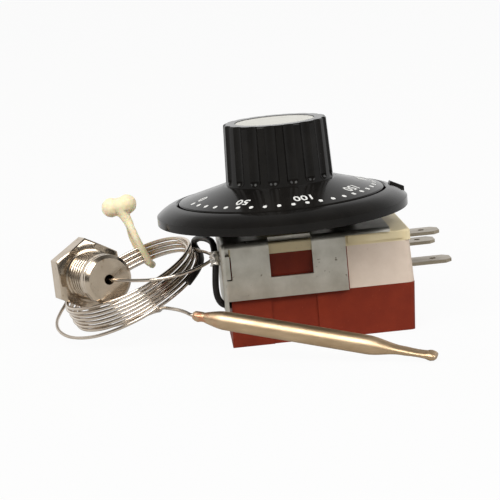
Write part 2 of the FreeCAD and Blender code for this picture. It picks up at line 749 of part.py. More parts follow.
def on_gland(shape):
    return place_along(shape, gland_face, gland_direction, V(0, 0, 1))


def gland_body():
    across = gland_hex / math.sqrt(3)
    corners = [V(across * math.cos(math.radians(60 * i)), across * math.sin(math.radians(60 * i)),
                 -gland_hex_thickness) for i in range(7)]
    nut = Part.Face(Part.makePolygon(corners)).extrude(V(0, 0, gland_hex_thickness))
    wide = across + 2.0
    narrow = gland_hex / 2 + 0.1
    fall = (wide - narrow) * gland_dome_slope
    dome = Part.makeCone(wide, narrow, fall, V(0, 0, -fall))
    band = Part.makeCylinder(wide, gland_hex_thickness, V(0, 0, -gland_hex_thickness - fall))
    nut = nut.common(dome.fuse(band))
    stem = Part.makeCylinder(gland_stem_radius, gland_stem_length)
    stem = stem.makeChamfer(gland_end_chamfer, [e for e in stem.Edges
                                                if e.BoundBox.ZMin > gland_stem_length - 0.01])
    start = V(0, 0, gland_collar_length)
    relief = Part.makeCylinder(gland_stem_radius + 2, gland_relief_length, start)
    core = Part.makeCylinder(gland_stem_radius - gland_relief_depth, gland_relief_length, start)
    relief = relief.cut(core)
    body = nut.fuse(stem.cut(relief))
    recess = packing_length + press_ring_length
    body = body.cut(Part.makeCylinder(packing_radius, recess, V(0, 0, -gland_hex_thickness)))
    body = body.cut(Part.makeCylinder(gland_bore, 40, V(0, 0, -20)))
    return on_gland(body.removeSplitter())


def gland_packing():
    low = -gland_hex_thickness + press_ring_length
    ring = Part.makeCylinder(packing_radius - 0.02, packing_length, V(0, 0, low))
    return on_gland(ring.cut(Part.makeCylinder(capillary_radius + 0.02, 40, V(0, 0, -20))))


def gland_press_ring():
    low = -gland_hex_thickness
    ring = Part.makeCylinder(packing_radius - 0.02, press_ring_length, V(0, 0, low))
    slot = Part.makeBox(2 * packing_radius + 2, press_ring_slot, press_ring_length / 2,
                        V(-packing_radius - 1, -press_ring_slot / 2, low))
    ring = ring.cut(slot)
    return on_gland(ring.cut(Part.makeCylinder(gland_bore, 40, V(0, 0, -20))))


def capillary_coil():
    """Outer shape of the bundled turns: higher at the front, hollowed where the gland rests."""
    profile = Part.Wire(Part.Ellipse(V(coil_radius, 0, coil_half_height),
                                     V(coil_radius + coil_half_width, 0, 0),
                                     V(coil_radius, 0, 0)).toShape())
    ring = Part.Face(profile).revolve(V(0, 0, 0), Z, 360)
    middle = (coil_near_half + coil_far_half) / 2
    lean = math.degrees(math.atan2(coil_near_half - coil_far_half, 2 * coil_radius))
    for side in (-1, 1):
        slab = Part.makeBox(200, 200, 50, V(-100, -100, 0))
        if side < 0:
            slab.translate(V(0, 0, -50))
        slab.rotate(V(0, 0, 0), V(0, 1, 0), -side * lean)
        slab.translate(V(0, 0, side * middle))
        ring = ring.cut(slab)
    ring = place_along(ring, coil_centre, coil_axis, coil_front)
    corner = gland_hex / math.sqrt(3) + gland_clearance
    length = gland_hex_thickness + 2 * gland_clearance
    pocket = Part.makeCylinder(corner, length, V(0, 0, -gland_hex_thickness - gland_clearance))
    stem_room = Part.makeCylinder(gland_stem_radius + gland_clearance, gland_stem_length)
    return ring.cut(on_gland(pocket.fuse(stem_room)))


def capillary_inner():
    start = sleeve_exit - sleeve_exit_direction * capillary_inside
    return Part.makeCylinder(capillary_radius, (sleeve_exit - start).Length, start, sleeve_exit_direction)


def sleeve_lower():
    return cord_tube("sleeve_lower", [sleeve_exit] + sleeve_low_points + [clip_low], sleeve_radius)


def sleeve_upper():
    return cord_tube("sleeve_upper", [clip_high] + sleeve_high_points, sleeve_radius)


def sleeve_clip():
    return Part.makeCylinder(clip_tube_radius, (clip_high - clip_low).Length, clip_low,
                             clip_high - clip_low)


def capillary_gland():
    """From the coil, round a loop, through the gland and by a loose turn back to the coil."""
    mouth = gland_face + gland_direction * (gland_stem_length + 1.5)
    rear = gland_face - gland_direction * (gland_hex_thickness + 4.5)
    return cord_tube("capillary_gland", gland_lead_points + [mouth, rear] + rear_loop_points,
                     capillary_radius)


def capillary_bulb():
    last = bulb_start + bulb_direction * bulb_socket
    return cord_tube("capillary_bulb", bulb_lead_points + [bulb_start - bulb_direction * bulb_socket, last],
                     capillary_radius)


def bulb():
    socket_radius = capillary_radius + seat_gap
    edges = lines_rz([(0, bulb_socket), (socket_radius, bulb_socket), (socket_radius, 0),
                      (bulb_neck_radius - 0.1, 0.2), (bulb_neck_radius, bulb_neck), (bulb_radius, bulb_cone),
                      (bulb_radius, bulb_taper_start), (0, bulb_taper_start), (0, bulb_socket)])
    body = revolve_rz(edges)
    circle = Part.Wire(Part.makeCircle(bulb_radius, V(0, 0, bulb_taper_start)))
    flat = Part.Wire(Part.Ellipse(V(0, bulb_tip_width, bulb_taper_end),
                                  V(bulb_tip_half_thickness, 0, bulb_taper_end),
                                  V(0, 0, bulb_taper_end)).toShape())
    taper = Part.makeLoft([circle, flat], True, True)
    tip = Part.Face(flat).extrude(V(0, 0, bulb_length - bulb_taper_end))
    body = body.fuse([taper, tip])
    return place_along(body, bulb_start, bulb_direction, V(0, 0, 1))


def coil_tie():
    """Rubber tie: a flat band looped round the bundle, a neck and two beads."""
    turn = math.radians(tie_angle)
    axis = V(coil_axis).normalize()
    side = axis.cross(V(coil_front)).normalize()
    out = side * math.cos(turn) - V(coil_front).normalize() * math.sin(turn)
    along = out.cross(axis).normalize()
    centre = coil_centre + out * coil_radius
    inner_x = coil_half_width + tie_gap
    drop = (coil_near_half + coil_far_half) / 2 + tie_gap
    reach = tie_reach
    outer = stadium(inner_x + tie_thickness, -drop - tie_thickness, reach + tie_thickness)
    band = outer.cut(stadium(inner_x, -drop, reach))
    band = place_along(band, centre - along * (tie_band / 2), along, out)
    top = centre + axis * (reach + tie_thickness / 2)
    middle = (tie_bead_left + tie_bead_right) * 0.5
    neck = Part.makeCylinder(tie_neck_radius, (middle - top).Length, top, middle - top)
    return band.fuse([neck, tie_beads()]).removeSplitter()


def tie_beads():
    """Two round beads that run into each other, revolved about the line through both."""
    half = (tie_bead_right - tie_bead_left).Length / 2
    waist = math.sqrt(tie_bead_radius ** 2 - half ** 2)
    end = half + tie_bead_radius
    slant = tie_bead_radius * math.sqrt(0.5)
    left = Part.Arc(V(0, 0, -end), V(slant, 0, -half - slant), V(waist, 0, 0)).toShape()
    right = Part.Arc(V(waist, 0, 0), V(slant, 0, half + slant), V(0, 0, end)).toShape()
    beads = revolve_rz([left, right] + lines_rz([(0, end), (0, -end)]))
    middle = (tie_bead_left + tie_bead_right) * 0.5
    return place_along(beads, middle, tie_bead_right - tie_bead_left, V(0, 0, 1))


def stadium(half_width, low, high):
    """Upright prism of a slot outline, with X across, Y up and its length along Z."""
    lower = low + half_width
    upper = high - half_width
    edges = [Part.LineSegment(V(half_width, lower, 0), V(half_width, upper, 0)).toShape(),
             Part.Arc(V(half_width, upper, 0), V(0, high, 0), V(-half_width, upper, 0)).toShape(),
             Part.LineSegment(V(-half_width, upper, 0), V(-half_width, lower, 0)).toShape(),
             Part.Arc(V(-half_width, lower, 0), V(0, low, 0), V(half_width, lower, 0)).toShape()]
    return Part.Face(Part.Wire(edges)).extrude(V(0, 0, tie_band))


pieces = [base_housing, terminal_block, housing_lid, mounting_bracket, end_plate, spindle_bush,
          bezel, bezel_screws, knob, knob_cap, spindle, spindle_clip, pressure_nut, range_spring,
          diaphragm_capsule, guide_plate, push_pin, contact_arm, terminal_front, terminal_rear,
          terminal_common, gland_body, gland_packing, gland_press_ring, capillary_coil,
          capillary_inner, sleeve_lower, sleeve_clip, sleeve_upper, capillary_gland,
          capillary_bulb, bulb, coil_tie]

os.makedirs("parts", exist_ok=True)
for piece in pieces:
    solid = piece()
    solid.exportStep("parts/" + piece.__name__ + ".step")
    bounds = solid.BoundBox
    print(piece.__name__, solid.isValid(), len(solid.Solids), round(solid.Volume, 1),
          [round(value, 2) for value in (bounds.XMin, bounds.YMin, bounds.ZMin,
                                         bounds.XMax, bounds.YMax, bounds.ZMax)])
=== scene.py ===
"""Dress the capillary thermostat switch: finishes, dial print, gland thread, capillary coil and tie."""
import json
import logging
import math
from dataclasses import dataclass, field
from enum import Enum
from typing import Callable, Iterable, Sequence

import bmesh
import bpy
from mathutils import Matrix, Vector


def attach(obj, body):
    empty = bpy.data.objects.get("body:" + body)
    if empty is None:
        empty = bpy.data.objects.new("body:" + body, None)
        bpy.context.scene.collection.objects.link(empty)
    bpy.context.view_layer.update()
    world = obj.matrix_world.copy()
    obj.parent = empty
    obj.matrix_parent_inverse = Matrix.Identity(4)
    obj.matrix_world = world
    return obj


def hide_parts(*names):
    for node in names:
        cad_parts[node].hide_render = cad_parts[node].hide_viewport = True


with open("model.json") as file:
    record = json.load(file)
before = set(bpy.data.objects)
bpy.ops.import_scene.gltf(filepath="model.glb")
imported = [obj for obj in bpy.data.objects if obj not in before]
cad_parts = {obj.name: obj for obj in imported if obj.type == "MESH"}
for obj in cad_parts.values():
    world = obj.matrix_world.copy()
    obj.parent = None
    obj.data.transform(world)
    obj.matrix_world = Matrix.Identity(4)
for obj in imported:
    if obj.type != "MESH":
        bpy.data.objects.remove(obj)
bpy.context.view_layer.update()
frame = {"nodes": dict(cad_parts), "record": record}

LOG = logging.getLogger("thermostat")
MM = 0.001
Point = tuple[float, float, float]
Colour = tuple[float, float, float]
NOISE_SPAN = (0.25, 0.75)
GLAND_FACE: Point = (-47.8, 9.0, 16.35)
GLAND_AXIS: Point = (0.399, -0.9155, 0.053)
BULB_START: Point = (-24.0, -22.0, 10.6)
BULB_END: Point = (27.5, -45.0, 1.15)


class Body(Enum):
    """The moving groups of the switch."""

    FIXED = "body"
    KNOB = "knob_body"


class Projection(Enum):
    """How a grain is stretched over a piece."""

    EVEN = (1.0, 1.0, 1.0)
    ALONG_X = (0.06, 1.0, 1.0)


def mm(point: Sequence[float]) -> Vector:
    """Turn a point in millimetres into metres."""
    return Vector(point) * MM


# Node helpers


def combine(tree: bpy.types.NodeTree, operation: str, first: object,
            second: object = 0.0) -> bpy.types.NodeSocket:
    """Join two values, each a socket or a number, by a maths node.

    Args:
        tree: The node tree.
        operation: The maths node's operation.
        first: A socket or a number.
        second: A socket or a number.

    Returns:
        The result's socket.
    """
    node = tree.nodes.new("ShaderNodeMath")
    node.operation = operation
    for socket, value in zip(node.inputs, (first, second)):
        if isinstance(value, bpy.types.NodeSocket):
            tree.links.new(value, socket)
        else:
            socket.default_value = value
    return node.outputs[0]


def span(tree: bpy.types.NodeTree, value: bpy.types.NodeSocket, numbers: Sequence[float],
         interpolation: str = "LINEAR") -> bpy.types.NodeSocket:
    """Map a span of a value onto another span, clamped.

    Args:
        tree: The node tree.
        value: The value to map.
        numbers: Start and end of the span, then the results there.
        interpolation: How the values between them run.

    Returns:
        The mapped value's socket.
    """
    node = tree.nodes.new("ShaderNodeMapRange")
    node.interpolation_type = interpolation
    for index, number in enumerate(numbers):
        node.inputs[index + 1].default_value = number
    tree.links.new(value, node.inputs[0])
    return node.outputs[0]


# Finishes


class ShaderNet:
    """A material's node tree with short ways to add what the finishes share."""

    def __init__(self, name: str) -> None:
        """Start an empty material with a Principled surface.

        Args:
            name: The material's name.
        """
        self.material = bpy.data.materials.new(name)
        self.material.use_nodes = True
        self.tree = self.material.node_tree
        self.tree.nodes.clear()
        self.output = self.add("ShaderNodeOutputMaterial")
        self.surface = self.add("ShaderNodeBsdfPrincipled")
        self.link(self.surface.outputs[0], self.output.inputs["Surface"])
        self.coords = self.add("ShaderNodeTexCoord").outputs["Object"]

    def add(self, kind: str, **inputs: object) -> bpy.types.Node:
        """Add a node and set its plain inputs.

        Args:
            kind: The node's type name.
            inputs: Values for sockets, by name with spaces as underscores.

        Returns:
            The new node.
        """
        node = self.tree.nodes.new(kind)
        for key, value in inputs.items():
            node.inputs[key.replace("_", " ")].default_value = value
        return node

    def link(self, start: bpy.types.NodeSocket, end: bpy.types.NodeSocket) -> None:
        """Join two sockets."""
        self.tree.links.new(start, end)

    def mapped(self, stretch: Point) -> bpy.types.NodeSocket:
        """Give Object coordinates scaled by a stretch.

        Args:
            stretch: Scale along each axis.

        Returns:
            The vector socket.
        """
        node = self.add("ShaderNodeMapping")
        node.inputs["Scale"].default_value = stretch
        self.link(self.coords, node.inputs["Vector"])
        return node.outputs[0]

    def noise(self, scale: float, detail: float = 4.0, roughness: float = 0.55,
              stretch: Point = (1.0, 1.0, 1.0)) -> bpy.types.NodeSocket:
        """Give a noise value between 0 and 1.

        Args:
            scale: Cells per metre.
            detail: Octaves.
            roughness: Weight of the fine octaves.
            stretch: Scale along each axis.

        Returns:
            The value socket.
        """
        node = self.add("ShaderNodeTexNoise", Scale=scale, Detail=detail, Roughness=roughness)
        self.link(self.mapped(stretch), node.inputs["Vector"])
        return node.outputs["Fac"]

    def ramp(self, value: bpy.types.NodeSocket, low: float, high: float,
             low_to: float = 0.0, high_to: float = 1.0) -> bpy.types.NodeSocket:
        """Map a span of a value onto another span, clamped.

        Args:
            value: The value to map.
            low: Start of the span.
            high: End of the span.
            low_to: Result at the start.
            high_to: Result at the end.

        Returns:
            The mapped value's socket.
        """
        return span(self.tree, value, (low, high, low_to, high_to))

    def mix(self, factor: bpy.types.NodeSocket, first: object, second: object) -> bpy.types.NodeSocket:
        """Mix two colours, each a socket or a plain colour.

        Args:
            factor: 0 gives the first colour and 1 the second.
            first: A colour or a socket.
            second: A colour or a socket.

        Returns:
            The colour socket.
        """
        node = self.add("ShaderNodeMix")
        node.data_type = "RGBA"
        self.link(factor, node.inputs[0])
        for socket, value in ((node.inputs[6], first), (node.inputs[7], second)):
            if isinstance(value, bpy.types.NodeSocket):
                self.link(value, socket)
            else:
                socket.default_value = (*value, 1.0)
        return node.outputs[2]

    def bump(self, height: bpy.types.NodeSocket, strength: float, distance: float) -> None:
        """Put a bump on the surface's normal, on top of any bump already there.

        Args:
            height: The height value.
            strength: How much of it shows.
            distance: Its depth in metres.
        """
        node = self.add("ShaderNodeBump", Strength=strength, Distance=distance)
        self.link(height, node.inputs["Height"])
        normal = self.surface.inputs["Normal"]
        if normal.links:
            self.link(normal.links[0].from_socket, node.inputs["Normal"])
        self.link(node.outputs[0], normal)


@dataclass(frozen=True)
class Finish:
    """A surface finish with mottled colour, uneven roughness, specks and a fine bump."""

    name: str
    colour: Colour
    shade: Colour
    rough: tuple[float, float]
    metallic: float = 0.0
    mottle_scale: float = 120.0
    grain_scale: float = 900.0
    grain_depth: float = 0.00003
    grain_strength: float = 0.25
    stretch: Projection = Projection.EVEN
    speck: Colour | None = None
    speck_scale: float = 1500.0
    speck_edge: float = 0.68
    specular: float = 0.5
    subsurface: float = 0.0
    subsurface_scale: float = 0.002
    scratch: float = 0.0

    def build(self) -> bpy.types.Material:
        """Build the material.

        Returns:
            The finished material.
        """
        net = ShaderNet(self.name)
        stretch = self.stretch.value
        mottle = net.ramp(net.noise(self.mottle_scale, stretch=stretch), 0.3, 0.7)
        colour = net.mix(mottle, self.colour, self.shade)
        if self.speck is not None:
            specks = net.ramp(net.noise(self.speck_scale, 2.0), self.speck_edge, self.speck_edge + 0.08)
            colour = net.mix(specks, colour, self.speck)
        net.link(colour, net.surface.inputs["Base Color"])
        grain = net.noise(self.grain_scale, 5.0, 0.6, stretch)
        net.link(net.ramp(grain, *NOISE_SPAN, *self.rough), net.surface.inputs["Roughness"])
        net.bump(grain, self.grain_strength, self.grain_depth)
        if self.scratch:
            lines = net.noise(self.grain_scale * 2.2, 3.0, 0.7, (1.0, 0.03, 1.0))
            net.bump(net.ramp(lines, 0.62, 0.72), self.scratch, 0.00001)
        for socket, value in (("Metallic", self.metallic), ("Specular IOR Level", self.specular),
                              ("Subsurface Weight", self.subsurface),
                              ("Subsurface Scale", self.subsurface_scale)):
            net.surface.inputs[socket].default_value = value
        return net.material


@dataclass(frozen=True)
class BulbFinish:
    """Tinned bronze bulb: streaks along it, copper at the braze and dark marks."""

    name: str = "tinned_bronze_bulb"
    tin: Colour = (0.66, 0.5, 0.33)
    bronze: Colour = (0.46, 0.32, 0.19)
    copper: Colour = (0.62, 0.3, 0.18)
    soot: Colour = (0.1, 0.07, 0.05)
    braze_from: float = -0.0215
    braze_to: float = -0.0185
    rough: tuple[float, float] = (0.36, 0.5)

    def build(self) -> bpy.types.Material:
        """Build the material.

        Returns:
            The finished material.
        """
        net = ShaderNet(self.name)
        streaks = net.ramp(net.noise(260.0, 6.0, 0.65, (0.12, 0.5, 0.9)), 0.32, 0.7)
        colour = net.mix(streaks, self.tin, self.bronze)
        split = net.add("ShaderNodeSeparateXYZ")
        net.link(net.coords, split.inputs[0])
        blotch = net.ramp(net.noise(700.0, 4.0), 0.42, 0.6)
        near_braze = net.ramp(split.outputs[0], self.braze_from, self.braze_to, 1.0, 0.0)
        colour = net.mix(combine(net.tree, "MULTIPLY", blotch, near_braze), colour, self.copper)
        marks = net.ramp(net.noise(520.0, 3.0, 0.5, (0.6, 1.0, 1.0)), 0.745, 0.79)
        colour = net.mix(marks, colour, self.soot)
        net.link(colour, net.surface.inputs["Base Color"])
        grain = net.noise(1400.0, 5.0, 0.6, (0.2, 1.0, 1.0))
        net.link(net.ramp(grain, *NOISE_SPAN, *self.rough), net.surface.inputs["Roughness"])
        net.bump(grain, 0.16, 0.00002)
        net.surface.inputs["Metallic"].default_value = 1.0
        return net.material


def make_finishes() -> dict[str, bpy.types.Material]:
    """Build every finish once.

    Returns:
        Materials by slot name.
    """
    gloss = Finish("black_gloss_moulding", (0.006, 0.0055, 0.005), (0.011, 0.01, 0.009), (0.09, 0.2),
                   grain_scale=420.0, grain_depth=0.00002, grain_strength=0.07, specular=0.14,
                   speck=(0.05, 0.048, 0.044), speck_scale=1700.0, speck_edge=0.74, scratch=0.05)
    red = Finish("dark_red_phenolic", (0.215, 0.027, 0.0105), (0.17, 0.02, 0.0085), (0.4, 0.55),
                 mottle_scale=220.0, grain_strength=0.25, specular=0.18,
                 speck=(0.26, 0.05, 0.025), speck_scale=2600.0, speck_edge=0.68)
    zinc = Finish("zinc_plated_steel", (0.64, 0.62, 0.56), (0.47, 0.45, 0.39), (0.34, 0.5), metallic=0.92,
                  mottle_scale=190.0, grain_scale=1500.0, grain_strength=0.18,
                  speck=(0.2, 0.17, 0.13), speck_scale=900.0, speck_edge=0.69, scratch=0.12)
    tin = Finish("tinned_brass", (0.42, 0.37, 0.29), (0.3, 0.25, 0.18), (0.26, 0.42), metallic=1.0,
                 mottle_scale=300.0, stretch=Projection.ALONG_X, grain_scale=1500.0,
                 speck=(0.16, 0.12, 0.08), speck_scale=1100.0, speck_edge=0.7, scratch=0.1)
    nickel = Finish("nickel_plated_brass", (0.62, 0.53, 0.42), (0.5, 0.41, 0.31), (0.17, 0.27),
                    metallic=1.0, mottle_scale=150.0, grain_scale=300.0, grain_strength=0.04,
                    speck=(0.36, 0.27, 0.18), speck_scale=420.0, speck_edge=0.64, scratch=0.05)
    steel = Finish("drawn_stainless_capillary", (0.74, 0.66, 0.57), (0.56, 0.47, 0.38), (0.14, 0.2),
                   metallic=1.0, mottle_scale=110.0, grain_scale=150.0, grain_strength=0.02)
    crimped = Finish("crimped_aluminium", (0.74, 0.71, 0.66), (0.5, 0.46, 0.4), (0.2, 0.4), metallic=1.0,
                     mottle_scale=700.0, grain_scale=900.0, grain_strength=0.35, grain_depth=0.00008)
    return {
        "black_gloss": gloss.build(),
        "phenolic": red.build(),
        "zinc_steel": zinc.build(),
        "tinned_brass": tin.build(),
        "nickel_brass": nickel.build(),
        "capillary_steel": steel.build(),
        "crimped_clip": crimped.build(),
        # Thread roots: dark brown for grime and painted shade in the thread's grooves.
        "thread_root": Finish("thread_root_grime_and_painted_shade", (0.09, 0.065, 0.045), (0.2, 0.15, 0.1), (0.4, 0.6),
                              metallic=0.7, mottle_scale=260.0).build(),
        "bulb_metal": BulbFinish().build(),
        "ceramic": Finish("pinkish_steatite", (0.74, 0.62, 0.52), (0.68, 0.56, 0.46), (0.55, 0.75),
                          mottle_scale=320.0, grain_strength=0.35, grain_depth=0.00005, specular=0.3,
                          speck=(0.5, 0.38, 0.3), speck_scale=2200.0, speck_edge=0.7).build(),
        "cream_moulding": Finish("cream_moulding", (0.84, 0.72, 0.47), (0.77, 0.65, 0.4), (0.4, 0.55),
                                 mottle_scale=200.0, grain_strength=0.25, specular=0.3,
                                 speck=(0.6, 0.48, 0.28), speck_scale=2400.0, speck_edge=0.7).build(),
        "bush_brass": Finish("turned_brass", (0.55, 0.46, 0.27), (0.45, 0.37, 0.2), (0.25, 0.4),
                             metallic=1.0).build(),
        "silver_cap": Finish("satin_silver_cap", (0.7, 0.69, 0.63), (0.62, 0.61, 0.55), (0.34, 0.46),
                             metallic=0.3, grain_scale=2400.0, grain_strength=0.12, scratch=0.06).build(),
        "spring_steel": Finish("spring_steel", (0.35, 0.35, 0.34), (0.28, 0.28, 0.27), (0.25, 0.4),
                               metallic=1.0).build(),
        "capsule_steel": Finish("pressed_steel", (0.5, 0.5, 0.5), (0.4, 0.4, 0.4), (0.25, 0.4),
                                metallic=1.0).build(),
        "black_rubber": Finish("black_rubber", (0.02, 0.02, 0.02), (0.03, 0.03, 0.03), (0.5, 0.7)).build(),
        "black_sleeve": Finish("black_sleeving", (0.007, 0.006, 0.006), (0.013, 0.011, 0.01), (0.35, 0.5),
                               mottle_scale=500.0, grain_scale=1800.0, grain_strength=0.2,
                               specular=0.3).build(),
        "cream_rubber": Finish("cream_rubber", (0.95, 0.85, 0.6), (0.9, 0.79, 0.53), (0.4, 0.55),
                               mottle_scale=260.0, grain_strength=0.1, subsurface=0.35,
                               subsurface_scale=0.0015, specular=0.3).build(),
        "dial_print": Finish("white_dial_print", (0.82, 0.82, 0.8), (0.7, 0.7, 0.68), (0.4, 0.55),
                             mottle_scale=900.0, grain_scale=3000.0).build(),
    }


# Mesh helpers


def add_piece(name: str, mesh: bpy.types.Mesh, material: bpy.types.Material, body: Body,
              replaces: Iterable[str] = ()) -> bpy.types.Object:
    """Put a finished mesh in the scene and tie it to its body.

    Args:
        name: The piece's name.
        mesh: Its mesh, already in place, in metres.
        material: Its finish.
        body: The body it rides on.
        replaces: The solids that it stands for.

    Returns:
        The new object.
    """
    obj = bpy.data.objects.new(name, mesh)
    bpy.context.scene.collection.objects.link(obj)
    mesh.materials.clear()
    mesh.materials.append(material)
    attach(obj, body.value)
    names = list(replaces)
    if names:
        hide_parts(*names)
    LOG.info("piece %s: %d faces on %s", name, len(mesh.polygons), body.value)
    return obj


def smooth(mesh: bpy.types.Mesh, angle: float = 35.0) -> None:
    """Shade a mesh smooth with sharp edges above an angle.

    Args:
        mesh: The mesh.
        angle: Sharp angle in degrees.
    """
    mesh.shade_smooth()
    mesh.set_sharp_from_angle(angle=math.radians(angle))


def mesh_from(build: Callable[[bmesh.types.BMesh], None], name: str, angle: float = 35.0) -> bpy.types.Mesh:
    """Run a bmesh builder, clean the result and point its faces outwards.

    Args:
        build: Fills the empty bmesh.
        name: The mesh's name.
        angle: Sharp angle in degrees.

    Returns:
        The mesh.
    """
    bm = bmesh.new()
    build(bm)
    bmesh.ops.remove_doubles(bm, verts=bm.verts, dist=1e-7)
    bmesh.ops.recalc_face_normals(bm, faces=bm.faces)
    mesh = bpy.data.meshes.new(name)
    bm.to_mesh(mesh)
    bm.free()
    smooth(mesh, angle)
    return mesh


def frame_matrix(origin: Vector, z_axis: Vector, x_hint: Vector) -> Matrix:
    """Give the matrix that puts +Z along an axis.

    Args:
        origin: Where the origin goes.
        z_axis: Direction of +Z.
        x_hint: Rough direction of +X.

    Returns:
        A 4 x 4 matrix.
    """
    z = z_axis.normalized()
    x = (x_hint - z * x_hint.dot(z)).normalized()
    y = z.cross(x)
    matrix = Matrix((x, y, z)).transposed().to_4x4()
    matrix.translation = origin
    return matrix


def bridge(bm: bmesh.types.BMesh, rings: Sequence[Sequence[bmesh.types.BMVert]]) -> None:
    """Join each ring of vertices to the next by faces.

    Args:
        bm: The bmesh.
        rings: Rings of equal counts, in order.
    """
    for first, second in zip(rings, rings[1:]):
        for index in range(len(first)):
            after = (index + 1) % len(first)
            bm.faces.new((first[index], first[after], second[after], second[index]))


def lay_along(bm: bmesh.types.BMesh, start: Point, direction: Vector, x_hint: Point) -> None:
    """Turn a bmesh in millimetres into metres, with its +Z along a direction.

    Args:
        bm: The bmesh.
        start: Where its origin goes, in millimetres.
        direction: Direction of +Z.
        x_hint: Rough direction of +X.
    """
    matrix = frame_matrix(mm(start), direction, Vector(x_hint)) @ Matrix.Scale(MM, 4)
    bmesh.ops.transform(bm, matrix=matrix, verts=bm.verts)


def baked(obj: bpy.types.Object, name: str) -> bpy.types.Mesh:
    """Turn an object with live modifiers into a plain mesh and remove the object.

    Args:
        obj: The object.
        name: The new mesh's name.

    Returns:
        The evaluated mesh.
    """
    bpy.context.view_layer.update()
    graph = bpy.context.evaluated_depsgraph_get()
    mesh = bpy.data.meshes.new_from_object(obj.evaluated_get(graph), depsgraph=graph)
    mesh.name = name
    bpy.data.objects.remove(obj)
    return mesh


# Stage


